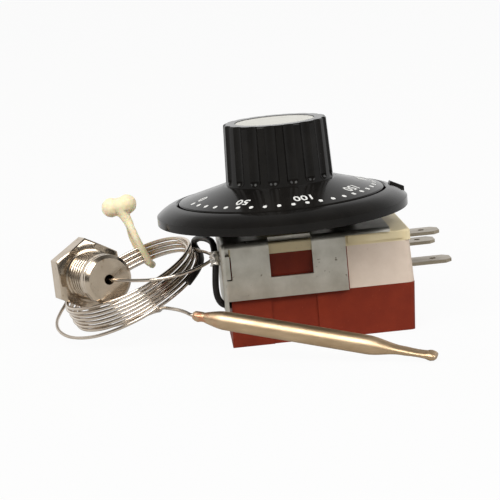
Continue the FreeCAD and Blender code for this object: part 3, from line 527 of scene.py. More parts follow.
@dataclass
class Studio:
    """Camera, lights, floor and background."""

    azimuth: float = -2.572
    elevation: float = 10.608
    roll: float = -5.397
    distance: float = 400.0
    target: Point = (-8.641, 0.0, 20.243)
    focal_pixels: float = 1662.787
    picture_width: float = 500.0
    sensor: float = 36.0
    floor_size: float = 6.0
    floor_drop: float = 0.02
    floor_colour: Colour = (0.5, 0.5, 0.49)
    floor_white: float = 0.95
    floor_lit_span: tuple[float, float] = (-0.02, 0.22)
    floor_mirror: tuple[float, float] = (0.0, 0.7)
    floor_lean: float = 0.9
    wall_span: tuple[float, float] = (-0.15, 0.5)
    wall_glow: float = 1.15
    wall_top_span: tuple[float, float] = (0.35, 0.75)
    ceiling_share: float = 0.35
    front_glow: float = 0.06
    lamps: tuple[tuple[str, Point, float, float, Colour], ...] = (
        ("key_lamp", (-0.62, -0.72, 0.95), 0.9, 16.5, (1.0, 0.985, 0.96)),
        ("fill_lamp", (0.7, -0.66, 0.8), 0.8, 9.0, (1.0, 1.0, 1.0)))

    def build_camera(self) -> None:
        """Place the camera at the photograph's angle."""
        az, el = math.radians(self.azimuth), math.radians(self.elevation)
        back = Vector((math.sin(az) * math.cos(el), -math.cos(az) * math.cos(el), math.sin(el)))
        right = (-back).cross(Vector((0, 0, 1))).normalized()
        up = right.cross(-back)
        matrix = Matrix((right, up, back)).transposed() @ Matrix.Rotation(math.radians(self.roll), 3, "Z")
        data = bpy.data.cameras.new("camera")
        data.sensor_width = self.sensor
        data.lens = self.sensor * self.focal_pixels / self.picture_width
        data.clip_start = 0.01
        camera = bpy.data.objects.new("camera", data)
        place = Matrix.Translation(mm(self.target) + back * self.distance * MM)
        camera.matrix_world = place @ matrix.to_4x4()
        bpy.context.scene.collection.objects.link(camera)
        bpy.context.scene.camera = camera

    def lamp(self, name: str, place: Point, size: float, power: float, tint: Colour) -> None:
        """Add a soft area lamp aimed at the object.

        Args:
            name: The lamp's name.
            place: Where it stands, in metres.
            size: Its width in metres.
            power: Watts.
            tint: Its colour.
        """
        data = bpy.data.lights.new(name, "AREA")
        data.shape = "DISK"
        data.size = size
        data.energy = power
        data.color = tint
        lamp = bpy.data.objects.new(name, data)
        aim = mm(self.target) - Vector(place)
        lamp.matrix_world = Matrix.Translation(place) @ aim.to_track_quat("-Z", "Y").to_matrix().to_4x4()
        bpy.context.scene.collection.objects.link(lamp)

    def build_floor(self) -> None:
        """Lay a white floor that keeps a faint shadow."""
        bm = bmesh.new()
        bmesh.ops.create_grid(bm, x_segments=1, y_segments=1, size=self.floor_size)
        mesh = bpy.data.meshes.new("floor")
        bm.to_mesh(mesh)
        bm.free()
        mesh.transform(Matrix.Translation((0, 0, -self.floor_drop * MM)))
        floor = bpy.data.objects.new("floor", mesh)
        bpy.context.scene.collection.objects.link(floor)
        net = ShaderNet("white_floor")
        net.surface.inputs["Base Color"].default_value = (*self.floor_colour, 1.0)
        net.surface.inputs["Roughness"].default_value = 0.9
        glow = net.add("ShaderNodeEmission")
        glow.inputs["Strength"].default_value = 1.0
        blend = net.add("ShaderNodeMixShader")
        net.link(self.seen(net), blend.inputs[0])
        net.link(net.surface.outputs[0], blend.inputs[1])
        net.link(glow.outputs[0], blend.inputs[2])
        net.link(blend.outputs[0], net.output.inputs["Surface"])
        mesh.materials.append(net.material)

    def seen(self, net: ShaderNet) -> bpy.types.NodeSocket:
        """Give the floor's white: for camera rays, and for mirrored rays at its lit sides and back.

        Args:
            net: The floor's net.

        Returns:
            The factor's socket.
        """
        path = net.add("ShaderNodeLightPath")
        split = net.add("ShaderNodeSeparateXYZ")
        net.link(net.coords, split.inputs[0])
        tree = net.tree
        reach = combine(tree, "ADD", combine(tree, "ABSOLUTE", split.outputs[0]),
                        combine(tree, "MULTIPLY", split.outputs[1], self.floor_lean))
        lit = net.ramp(reach, *self.floor_lit_span, *self.floor_mirror)
        direct = combine(tree, "MAXIMUM", path.outputs["Is Camera Ray"], path.outputs["Is Transmission Ray"])
        mirrored = combine(tree, "MULTIPLY", path.outputs["Is Glossy Ray"], lit)
        return combine(tree, "MAXIMUM", combine(tree, "MULTIPLY", direct, self.floor_white), mirrored)

    def build_world(self) -> None:
        """Give a studio: white behind and beside the object, dim above and dark in front.

        The camera itself sees plain white.
        """
        world = bpy.data.worlds.new("studio")
        bpy.context.scene.world = world
        world.use_nodes = True
        tree = world.node_tree
        tree.nodes.clear()
        add, link = tree.nodes.new, tree.links.new
        out = add("ShaderNodeOutputWorld")
        soft = add("ShaderNodeBackground")
        plain = add("ShaderNodeBackground")
        plain.inputs["Strength"].default_value = 1.0
        blend = add("ShaderNodeMixShader")
        path = add("ShaderNodeLightPath")
        split = add("ShaderNodeSeparateXYZ")
        link(add("ShaderNodeTexCoord").outputs["Generated"], split.inputs[0])
        behind = span(tree, split.outputs[1], (*self.wall_span, 0.0, self.wall_glow), "SMOOTHSTEP")
        wall = span(tree, split.outputs[2], (*self.wall_top_span, 1.0, self.ceiling_share), "SMOOTHSTEP")
        level = combine(tree, "ADD", combine(tree, "MULTIPLY", behind, wall), self.front_glow)
        link(level, soft.inputs["Strength"])
        link(path.outputs["Is Camera Ray"], blend.inputs[0])
        link(soft.outputs[0], blend.inputs[1])
        link(plain.outputs[0], blend.inputs[2])
        link(blend.outputs[0], out.inputs[0])

    def build(self) -> None:
        """Build the whole stage."""
        bpy.context.scene.view_settings.view_transform = "Standard"
        self.build_camera()
        self.build_floor()
        self.build_world()
        for lamp in self.lamps:
            self.lamp(*lamp)
        LOG.info("stage ready")


# Capillary


@dataclass
class Capillary:
    """The capillary from the body through its sleeves, coil and gland to the bulb, with its turns."""

    radius: float = 0.4
    sleeve_radius: float = 0.78
    coil_centre: Point = (-38.22, 10.95, 13.56)
    coil_axis: Point = (-0.3788, -0.112, 0.9188)
    coil_front: Point = (0.0711, -0.9932, -0.0917)
    coil_radius: float = 16.9
    turn_points: int = 20
    crossings: int = 7
    start_angle: float = 112.0
    bundle: tuple[tuple[float, float, float, float], ...] = (
        (-90.0, -3.1, 2.3, 0.3), (-60.0, -3.5, 2.6, 0.1), (-35.0, -3.6, 2.6, 0.0), (0.0, -3.35, 1.95, 0.0),
        (40.0, -2.9, 1.7, 0.6), (75.0, -2.4, 1.65, 0.62), (110.0, -2.0, 1.7, 0.6), (150.0, -1.75, 1.8, 0.5),
        (180.0, -1.75, 1.75, 0.5), (225.0, -2.0, 1.9, 0.6), (270.0, -3.1, 2.3, 0.3))
    outer_strand: tuple[tuple[float, float, float], ...] = (
        (88.0, 1.45, -2.3), (75.0, 1.5, -2.75), (60.0, 1.5, -3.2), (45.0, 1.15, -3.6), (30.0, 0.65, -3.95),
        (15.0, 0.35, -4.15), (0.0, 0.4, -4.35), (-15.0, 0.35, -4.45), (-30.0, 0.5, -4.55))
    inner_strand: tuple[tuple[float, float, float], ...] = (
        (-76.0, -0.7, -2.6), (-55.0, -1.2, -3.3), (-35.0, -1.35, -3.9), (-17.0, -1.5, -4.4),
        (0.0, -1.9, -4.9))
    sleeved_strand: int = 4
    waves: tuple[tuple[float, float, float], ...] = ((0.06, 0.0131, 0.0), (0.05, 0.0287, 1.0))
    exit_point: Point = (-13.5, -8.3, 9.2)
    clip_low: Point = (-17.4, -9.2, 19.4)
    clip_high: Point = (-17.4, -8.3, 21.9)
    low_points: tuple[Point, ...] = ((-15.4, -9.48, 9.2), (-17.0, -10.2, 10.0), (-17.85, -10.3, 12.0),
                                     (-17.95, -10.2, 14.3), (-17.75, -9.9, 16.6))
    high_points: tuple[Point, ...] = ((-17.4, -7.6, 23.6), (-17.8, -5.4, 24.35), (-18.7, -2.4, 24.4),
                                      (-19.7, 1.6, 24.1), (-20.5, 5.4, 23.5), (-21.0, 8.6, 22.7))
    fold_points: tuple[Point, ...] = ((-21.7, 11.4, 21.9), (-21.75, 13.2, 20.6), (-21.1, 13.2, 19.1))
    loop_points: tuple[Point, ...] = ((-47.88, -0.8, 3.1), (-51.6, 3.0, 2.2), (-55.0, 7.0, 2.0),
                                      (-57.4, 11.0, 2.9), (-57.9, 15.0, 4.3), (-56.9, 19.0, 5.7),
                                      (-55.2, 22.0, 7.6), (-53.9, 23.8, 10.0), (-53.2, 23.2, 12.8),
                                      (-52.4, 20.4, 15.2))
    lead_points: tuple[Point, ...] = ((-36.0, -7.6, 17.1), (-31.4, -10.2, 17.4), (-26.6, -11.0, 18.0),
                                      (-22.4, -9.8, 18.8), (-19.2, -6.6, 19.4), (-17.75, -2.2, 19.6),
                                      (-17.85, 2.4, 19.6), (-19.3, 6.4, 19.75), (-21.4, 9.8, 19.7))
    bulb_points: tuple[Point, ...] = ((-32.6, -3.3, 8.4), (-31.6, -5.8, 8.9), (-31.1, -9.0, 10.2),
                                      (-30.2, -12.6, 11.0), (-28.6, -15.8, 11.3), (-27.0, -18.4, 11.4),
                                      (-25.4, -20.4, 11.1))
    gland_reaches: tuple[float, ...] = (-9.7, -5.5, 0.0, 7.0, 13.9)
    bulb_socket: float = 0.6

    def on_ring(self, angle: float, outward: float, height: float) -> Point:
        """Give a point on the coil.

        Args:
            angle: Degrees from the front, turning to the right end.
            outward: Offset from the coil's mean radius.
            height: Offset along the coil's axis.

        Returns:
            The point in millimetres.
        """
        axis = Vector(self.coil_axis).normalized()
        front = Vector(self.coil_front).normalized()
        side = axis.cross(front).normalized()
        turn = math.radians(angle)
        way = front * math.cos(turn) + side * math.sin(turn)
        place = Vector(self.coil_centre) + way * (self.coil_radius + outward) + axis * height
        return place.x, place.y, place.z

    @staticmethod
    def eased(value: float) -> float:
        """Ease a value from 0 to 1."""
        value = min(max(value, 0.0), 1.0)
        return value * value * (3 - 2 * value)

    def spread(self, angle: float) -> tuple[float, float, float]:
        """Give the bundle's lowest and highest strand and its stagger at an angle.

        Args:
            angle: Degrees round the coil.

        Returns:
            Low height, high height and stagger in millimetres.
        """
        turn = (angle + 90.0) % 360.0 - 90.0
        for first, second in zip(self.bundle, self.bundle[1:]):
            if turn <= second[0]:
                share = self.eased((turn - first[0]) / (second[0] - first[0]))
                low, high, stagger = (a + (b - a) * share for a, b in zip(first[1:], second[1:]))
                return low, high, stagger
        return self.bundle[0][1:]

    def wound_turns(self) -> list[Point]:
        """Give the turns of the bundle, from the top at the lead to the bottom.

        The turns lie in one layer at the front and pack in two columns elsewhere.

        Returns:
            Points in millimetres.
        """
        end = 360.0 * self.crossings + 270.0
        count = round((end - self.start_angle) * self.turn_points / 360.0)
        points = []
        for index in range(count + 1):
            angle = self.start_angle + (end - self.start_angle) * index / count
            place = self.crossings + 0.5 - angle / 360.0
            low, high, stagger = self.spread(angle)
            height = low + (high - low) * (place - 0.5) / (self.crossings - 1)
            wave = sum(size * math.sin(rate * angle + shift) for size, rate, shift in self.waves)
            points.append(self.on_ring(angle, stagger * math.cos(math.pi * place) + wave, height))
        return points

    def curve(self, name: str, points: Sequence[Point], radius: float,
              material: bpy.types.Material) -> bpy.types.Object:
        """Make a smooth round cord through a route.

        Args:
            name: The piece's name.
            points: The route in millimetres.
            radius: Its radius in millimetres.
            material: Its finish.

        Returns:
            The curve object.
        """
        data = bpy.data.curves.new(name, "CURVE")
        data.dimensions = "3D"
        data.bevel_depth = radius * MM
        data.bevel_resolution = 3
        data.resolution_u = 5
        data.use_fill_caps = True
        spline = data.splines.new("NURBS")
        spline.points.add(len(points) - 1)
        for knot, point in zip(spline.points, points):
            knot.co = (*mm(point), 1.0)
        spline.order_u = 3
        spline.use_endpoint_u = True
        data.materials.append(material)
        obj = bpy.data.objects.new(name, data)
        bpy.context.scene.collection.objects.link(obj)
        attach(obj, Body.FIXED.value)
        return obj

    def sleeve_route(self) -> list[Point]:
        """Give the upper sleeve's route from the clip to its end on the coil.

        Returns:
            Points in millimetres.
        """
        on_coil = [self.on_ring(*place) for place in self.outer_strand[:self.sleeved_strand]]
        return [self.clip_high, *self.high_points, *self.fold_points, *on_coil]

    def route(self) -> list[Point]:
        """Give the whole route from the body to the bulb.

        Returns:
            Points in millimetres.
        """
        face, axis = Vector(GLAND_FACE), Vector(GLAND_AXIS).normalized()
        inside = [tuple(face + axis * reach) for reach in self.gland_reaches]
        way = (Vector(BULB_END) - Vector(BULB_START)).normalized()
        finish = [tuple(Vector(BULB_START) + way * reach)
                  for reach in (-self.bulb_socket, self.bulb_socket)]
        return ([self.exit_point, *self.low_points, self.clip_low, self.clip_high,
                 *self.high_points, *self.fold_points]
                + [self.on_ring(*place) for place in self.outer_strand]
                + list(self.loop_points) + inside + list(self.lead_points) + self.wound_turns()
                + [self.on_ring(*place) for place in self.inner_strand]
                + list(self.bulb_points) + finish)

    def build(self, finishes: dict[str, bpy.types.Material]) -> None:
        """Args:
            finishes: Materials by slot name.
        """
        cord = self.curve("capillary", self.route(), self.radius, finishes["capillary_steel"])
        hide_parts("capillary_coil", "capillary_gland", "capillary_bulb")
        low = self.curve("sleeving_low", [self.exit_point, *self.low_points, self.clip_low],
                         self.sleeve_radius, finishes["black_sleeve"])
        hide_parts("sleeve_lower")
        high = self.curve("sleeving_high", self.sleeve_route(), self.sleeve_radius,
                          finishes["black_sleeve"])
        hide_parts("sleeve_upper")
        length = self.length(cord)
        tuple(mm(self.exit_point))
        SleeveClip().build(finishes)
        LOG.info("capillary: %.3f m", length)

    @staticmethod
    def length(cord: bpy.types.Object) -> float:
        """Measure a curve's own line.

        Args:
            cord: The curve object.

        Returns:
            Its length in metres.
        """
        data = cord.data.copy()
        data.bevel_depth = 0.0
        probe = bpy.data.objects.new("probe", data)
        mesh = bpy.data.meshes.new_from_object(probe)
        line = [vertex.co.copy() for vertex in mesh.vertices]
        total = sum((b - a).length for a, b in zip(line, line[1:]))
        bpy.data.objects.remove(probe)
        bpy.data.meshes.remove(mesh)
        return total


@dataclass
class SleeveClip:
    """The aluminium clip crimped over the two sleeves' meeting ends."""

    low: Point = (-17.4, -9.35, 19.1)
    high: Point = (-17.4, -8.2, 22.2)
    radius: float = 1.1
    crimps: int = 3
    depth: float = 0.17
    lip: float = 0.28
    seam_width: float = 0.3
    bore_share: float = 0.74
    bore_inset: float = 0.25
    rings: int = 26
    segments: int = 40

    def fill(self, bm: bmesh.types.BMesh) -> None:
        """Fill a bmesh with the clip: a pinched tube with a folded seam on its left.

        Args:
            bm: The empty bmesh.
        """
        low, high = Vector(self.low), Vector(self.high)
        length = (high - low).length
        rows = []
        for step in range(self.rings + 1):
            share = step / self.rings
            pinch = self.depth * math.sin(math.pi * self.crimps * share) ** 2
            row = []
            for index in range(self.segments):
                turn = 2 * math.pi * index / self.segments
                seam = math.exp(-((turn - math.pi) / self.seam_width) ** 2)
                ridge = self.lip * seam * (1 - 0.5 * pinch / self.depth)
                dent = 0.05 * math.sin(5 * turn + 9 * share) + 0.04 * math.sin(3 * turn - 14 * share)
                radius = self.radius - pinch * (0.6 + 0.4 * math.cos(2 * turn)) + ridge + dent
                row.append(bm.verts.new((radius * math.cos(turn), radius * math.sin(turn), length * share)))
            rows.append(row)
        for end, shift in ((0, self.bore_inset), (-1, -self.bore_inset)):
            share = self.bore_share
            inner = [bm.verts.new((v.co.x * share, v.co.y * share, v.co.z + shift)) for v in rows[end]]
            rows.insert(0 if end == 0 else len(rows), inner)
        bridge(bm, rows)
        bm.faces.new(rows[0])
        bm.faces.new(rows[-1])
        lay_along(bm, self.low, high - low, (1, 0, 0))

    def build(self, finishes: dict[str, bpy.types.Material]) -> bpy.types.Object:
        """Build the clip.

        Args:
            finishes: Materials by slot name.

        Returns:
            The clip's object.
        """
        mesh = mesh_from(self.fill, "crimped_clip", 50)
        return add_piece("crimped_clip", mesh, finishes["crimped_clip"], Body.FIXED,
                         ["sleeve_clip"])


# Dial print


@dataclass
class DialPrint:
    """White dashes and numerals printed on the dial's cone."""

    rim_radius: float = 24.28
    rim_height: float = 33.27
    neck_radius: float = 13.55
    neck_height: float = 36.45
    zero_angle: float = -72.34
    degrees_per_step: float = 8.362
    steps: int = 30
    dash_radius: float = 22.3
    dash_half: tuple[float, float] = (0.62, 0.48)
    numeral_radius: float = 21.3
    numeral_size: float = 3.35
    numeral_swell: float = 0.05
    lift: float = 0.04

    def height(self, radius: float) -> float:
        """Give the cone's height at a radius, in millimetres."""
        share = (self.rim_radius - radius) / (self.rim_radius - self.neck_radius)
        return self.rim_height + share * (self.neck_height - self.rim_height)

    def dash_tree(self, material: bpy.types.Material) -> bpy.types.NodeTree:
        """Build the tree that lays dashes in a ring on the cone.

        Args:
            material: The print's finish.

        Returns:
            The Geometry Nodes tree.
        """
        tree = bpy.data.node_groups.new("dial_dashes", "GeometryNodeTree")
        face = tree.interface
        face.new_socket("Geometry", in_out="INPUT", socket_type="NodeSocketGeometry")
        for name, kind in (("Count", "NodeSocketInt"), ("Radius", "NodeSocketFloat"),
                           ("Height", "NodeSocketFloat"), ("Start", "NodeSocketFloat"),
                           ("Step", "NodeSocketFloat"), ("Tilt", "NodeSocketFloat")):
            face.new_socket(name, in_out="INPUT", socket_type=kind)
        face.new_socket("Geometry", in_out="OUTPUT", socket_type="NodeSocketGeometry")
        add, link = tree.nodes.new, tree.links.new
        source, out = add("NodeGroupInput"), add("NodeGroupOutput")
        index = add("GeometryNodeInputIndex").outputs[0]
        angle = combine(tree, "ADD", source.outputs["Start"],
                        combine(tree, "MULTIPLY", index, source.outputs["Step"]))
        place = add("ShaderNodeCombineXYZ")
        for axis, function in enumerate(("COSINE", "SINE")):
            reach = combine(tree, "MULTIPLY", combine(tree, function, angle), source.outputs["Radius"])
            link(reach, place.inputs[axis])
        link(source.outputs["Height"], place.inputs[2])
        turn = add("ShaderNodeCombineXYZ")
        link(source.outputs["Tilt"], turn.inputs[1])
        link(angle, turn.inputs[2])
        points = add("GeometryNodePoints")
        link(source.outputs["Count"], points.inputs["Count"])
        link(place.outputs[0], points.inputs["Position"])
        each = add("GeometryNodeInstanceOnPoints")
        link(points.outputs[0], each.inputs["Points"])
        link(source.outputs["Geometry"], each.inputs["Instance"])
        link(turn.outputs[0], each.inputs["Rotation"])
        real = add("GeometryNodeRealizeInstances")
        link(each.outputs[0], real.inputs[0])
        dress = add("GeometryNodeSetMaterial")
        dress.inputs["Material"].default_value = material
        link(real.outputs[0], dress.inputs[0])
        link(dress.outputs[0], out.inputs[0])
        return tree

    def build_dashes(self, material: bpy.types.Material) -> None:
        """Build the ring of dashes.

        Args:
            material: The print's finish.
        """
        def dash(bm: bmesh.types.BMesh) -> None:
            """Draw one rounded dash lying flat, longer along the radius.

            Args:
                bm: The empty bmesh.
            """
            half_long, half_wide = self.dash_half
            outline = []
            for index in range(14):
                turn = math.radians(-90 + index * 30 - (30 if index > 6 else 0))
                side = 1 if index < 7 else -1
                outline.append(bm.verts.new(mm((side * (half_long - half_wide) + half_wide * math.cos(turn),
                                                half_wide * math.sin(turn), 0.0))))
            face = bm.faces.new(outline)
            bmesh.ops.triangulate(bm, faces=[face])
            grown = bmesh.ops.extrude_face_region(bm, geom=bm.faces[:])
            moved = [item for item in grown["geom"] if isinstance(item, bmesh.types.BMVert)]
            bmesh.ops.translate(bm, vec=(0, 0, self.lift * MM), verts=moved)

        seed = bpy.data.objects.new("dash_seed", mesh_from(dash, "dash_seed", 60))
        bpy.context.scene.collection.objects.link(seed)
        tree = self.dash_tree(material)
        modifier = seed.modifiers.new("dashes", "NODES")
        modifier.node_group = tree
        tilt = math.atan2(self.neck_height - self.rim_height, self.rim_radius - self.neck_radius)
        values = {"Count": self.steps + 1, "Radius": self.dash_radius * MM,
                  "Height": self.height(self.dash_radius) * MM,
                  "Start": math.radians(self.zero_angle - 90), "Step": math.radians(self.degrees_per_step),
                  "Tilt": tilt}
        for item in tree.interface.items_tree:
            if item.in_out == "INPUT" and item.name in values:
                modifier[item.identifier] = values[item.name]
        mesh = baked(seed, "dial_dashes")
        add_piece("dial_dashes", mesh, material, Body.KNOB)

    def build_numerals(self, material: bpy.types.Material) -> None:
        """Build the numerals, their tops facing outwards.

        Args:
            material: The print's finish.
        """
        for value in range(0, 301, 50):
            data = bpy.data.curves.new(f"numeral_{value}", "FONT")
            data.body = str(value)
            data.size = self.numeral_size * MM
            data.align_x = "CENTER"
            data.align_y = "TOP"
            data.extrude = self.lift * MM / 2
            data.offset = self.numeral_swell * MM
            data.resolution_u = 3
            holder = bpy.data.objects.new(f"numeral_{value}", data)
            bpy.context.scene.collection.objects.link(holder)
            mesh = baked(holder, f"numeral_{value}")
            angle = math.radians(self.zero_angle - 90 + value / 10 * self.degrees_per_step)
            for vertex in mesh.vertices:
                across, inward, lift = vertex.co.x, vertex.co.y, vertex.co.z
                radius = self.numeral_radius * MM + inward
                turn = angle - across / radius
                vertex.co = (radius * math.cos(turn), radius * math.sin(turn),
                             self.height(radius / MM) * MM + lift + self.lift * MM / 2)
            add_piece(f"numeral_{value}", mesh, material, Body.KNOB)

    def build(self, finishes: dict[str, bpy.types.Material]) -> None:
        """Build the whole print.

        Args:
            finishes: Materials by slot name.
        """
        self.build_dashes(finishes["dial_print"])
        self.build_numerals(finishes["dial_print"])


# Gland


@dataclass
class Gland:
    """The sealing gland with its cut thread."""

    face: Point = GLAND_FACE
    axis: Point = GLAND_AXIS
    hex_size: float = 16.0
    hex_thickness: float = 5.2
    stem_radius: float = 5.97
    stem_length: float = 12.4
    collar_length: float = 1.2
    pitch: float = 1.5
    depth: float = 0.85
    # Share of the thread's depth below the crest where the painted groove shade begins.
    root_share: float = 0.2
    end_length: float = 3.7
    end_groove: float = 1.8
    bore: float = 1.1
    recess: float = 3.2
    recess_depth: float = 4.4
    segments: int = 72
    stem_steps: int = 150
    groove_half: float = 0.42
    fade: float = 0.5
    chamfer: float = 0.75
    corner_fall: float = 0.42

    def stem_profile(self, along: float, turn: float) -> float:
        """Give the stem's radius at a height and an angle.

        Args:
            along: Distance from the hexagon.
            turn: Angle in turns.

        Returns:
            The radius in millimetres.
        """
        phase = (along / self.pitch - turn) % 1.0
        groove = max(0.0, 1.0 - abs(phase - 0.5) / self.groove_half)
        fade_in = min(max((along - self.collar_length) / self.fade, 0.0), 1.0)
        last = self.stem_length - self.end_length
        fade_out = min(max((last - along) / self.fade, 0.0), 1.0)
        radius = self.stem_radius - self.depth * groove * fade_in * fade_out
        groove_gap = abs(along - (self.stem_length - self.end_groove))
        radius -= 0.3 * max(0.0, 1.0 - groove_gap / 0.25)
        chamfer = self.stem_length - self.chamfer
        if along > chamfer:
            radius = min(radius, self.stem_radius - (along - chamfer) * 1.1)
        return radius

    def build_body(self, bm: bmesh.types.BMesh) -> None:
        """Fill a bmesh with the gland: hexagon, threaded stem, bore and rear recess.

        Args:
            bm: The empty bmesh, in millimetres until the end.
        """
        rings: list[list[bmesh.types.BMVert]] = []
        count = self.segments
        half = self.hex_size / 2

        def ring(radius_at: Callable[[float], float], height_at: Callable[[float], float]) -> None:
            """Add a ring of vertices.

            Args:
                radius_at: Gives the radius at an angle in turns.
                height_at: Gives the height there.
            """
            row = []
            for index in range(count):
                turn = index / count
                radius = radius_at(turn)
                angle = 2 * math.pi * turn
                row.append(bm.verts.new((radius * math.cos(angle), radius * math.sin(angle),
                                         height_at(turn))))
            rings.append(row)

        def hexagon(turn: float) -> float:
            """Give the hexagon's radius at an angle in turns."""
            local = 30.0 - abs(((turn * 360.0 + 30.0) % 60.0) - 30.0)
            return half / math.cos(math.radians(local))

        def dome(turn: float, lift: float) -> float:
            """Give the height of the rounded front face's edge at a corner."""
            return -(hexagon(turn) - half) * self.corner_fall - lift

        low = -self.hex_thickness
        ring(lambda t: self.bore, lambda t: low + self.recess_depth)
        ring(lambda t: self.recess, lambda t: low + self.recess_depth)
        ring(lambda t: self.recess, lambda t: low)
        ring(lambda t: half - 0.25, lambda t: low)
        ring(lambda t: hexagon(t) - 0.15, lambda t: low + 0.12)
        ring(hexagon, lambda t: low + 0.35)
        ring(hexagon, lambda t: dome(t, 0.25))
        ring(lambda t: hexagon(t) - 0.18, lambda t: dome(t, 0.05))
        ring(lambda t: half - 0.2, lambda t: 0.0)
        ring(lambda t: self.stem_radius + 0.55, lambda t: 0.0)
        ring(lambda t: self.stem_radius + 0.5, lambda t: 0.35)
        ring(lambda t: self.stem_radius + 0.05, lambda t: 0.5)
        for index in range(self.stem_steps + 1):
            along = 0.6 + (self.stem_length - 0.6) * index / self.stem_steps
            ring(lambda t, a=along: self.stem_profile(a, t), lambda t, a=along: a)
        ring(lambda t: self.stem_radius - 1.15, lambda t: self.stem_length)
        ring(lambda t: self.bore + 0.15, lambda t: self.stem_length)
        ring(lambda t: self.bore, lambda t: self.stem_length - 0.2)
        rings.append(rings[0])
        bridge(bm, rings)
        lay_along(bm, self.face, Vector(self.axis), (0, 0, 1))

    def build(self, finishes: dict[str, bpy.types.Material]) -> None:
        """Build the gland's body, its thread roots painted dark: grime and painted shade in the grooves.

        Args:
            finishes: Materials by slot name.
        """
        mesh = mesh_from(self.build_body, "gland", 28)
        add_piece("gland", mesh, finishes["nickel_brass"], Body.FIXED, ["gland_body"])
        mesh.materials.append(finishes["thread_root"])
        face, axis = mm(self.face), Vector(self.axis).normalized()
        # Groove walls below the crests take the dark thread-root finish: painted shade in the thread's
        # hollows, with grime.
        for polygon in mesh.polygons:
            offset = polygon.center - face
            along = offset.dot(axis) / MM
            radius = (offset - axis * offset.dot(axis)).length / MM
            in_thread = self.collar_length < along < self.stem_length - self.end_length + 0.5
            if in_thread and self.bore + 1.0 < radius < self.stem_radius - self.root_share * self.depth:
                polygon.material_index = 1


# Coil tie


@dataclass
class CoilTie:
    """A cream rubber tie looped round the bundle, with two beads."""

    capillary: Capillary = field(default_factory=Capillary)
    angle: float = 160.0
    bead_radius: float = 2.6
    bead_left: Point = (-41.6, 27.2, 29.75)
    bead_right: Point = (-37.6, 27.2, 30.25)
    band_radius: float = 0.92
    neck_radius: float = 1.2
    splay: float = 2.0
    rear_splay: float = 3.0
    outline: tuple[tuple[float, float], ...] = ((0.0, -3.5), (1.3, -3.2), (2.1, -2.0), (2.3, 0.0),
                                                (2.4, 2.5), (2.1, 5.0), (1.3, 7.2), (0.4, 8.8))
    voxel: float = 0.25
    ball_gap: float = 0.25
    neck_balls: int = 18
    neck_growth: float = 1.0
    soft_factor: float = 0.5
    soft_rounds: int = 5

    def loop(self) -> list[Vector]:
        """Give the loop's line, inside the coil first and then outside it.

        Returns:
            Points in millimetres.
        """
        on_ring = self.capillary.on_ring
        inner = [Vector(on_ring(self.angle - self.splay * outward / 2, -outward, height))
                 for outward, height in self.outline]
        outer = [Vector(on_ring(self.angle + self.rear_splay * outward, outward, height))
                 for outward, height in self.outline]
        return inner[::-1] + outer[1:]

    def blobs(self) -> bpy.types.Mesh:
        """Give overlapping balls along the loop, neck and beads.

        Returns:
            The mesh to be skinned.
        """
        bm = bmesh.new()

        def ball(place: Vector, radius: float) -> None:
            """Add one ball."""
            bmesh.ops.create_icosphere(bm, subdivisions=2, radius=radius * MM,
                                       matrix=Matrix.Translation(place * MM))

        line = self.loop()
        for first, second in zip(line, line[1:]):
            count = max(2, int((second - first).length / self.ball_gap))
            for index in range(count):
                ball(first.lerp(second, index / count), self.band_radius)
        left, right = Vector(self.bead_left), Vector(self.bead_right)
        top = (line[0] + line[-1]) / 2
        middle = (left + right) / 2
        for index in range(self.neck_balls):
            share = index / (self.neck_balls - 1)
            ball(top.lerp(middle, share), self.neck_radius + self.neck_growth * share * share)
        ball(left, self.bead_radius)
        ball(right, self.bead_radius)
        mesh = bpy.data.meshes.new("tie_blobs")
        bm.to_mesh(mesh)
        bm.free()
        return mesh

    def build(self, finishes: dict[str, bpy.types.Material]) -> None:
        """Build the tie as one blended skin.

        Args:
            finishes: Materials by slot name.
        """
        holder = bpy.data.objects.new("tie_blobs", self.blobs())
        bpy.context.scene.collection.objects.link(holder)
        remesh = holder.modifiers.new("skin", "REMESH")
        remesh.mode = "VOXEL"
        remesh.voxel_size = self.voxel * MM
        soften = holder.modifiers.new("soften", "SMOOTH")
        soften.factor = self.soft_factor
        soften.iterations = self.soft_rounds
        skin = baked(holder, "coil_tie_skin")
        smooth(skin, 60)
        add_piece("coil_tie_skin", skin, finishes["cream_rubber"], Body.FIXED, ["coil_tie"])


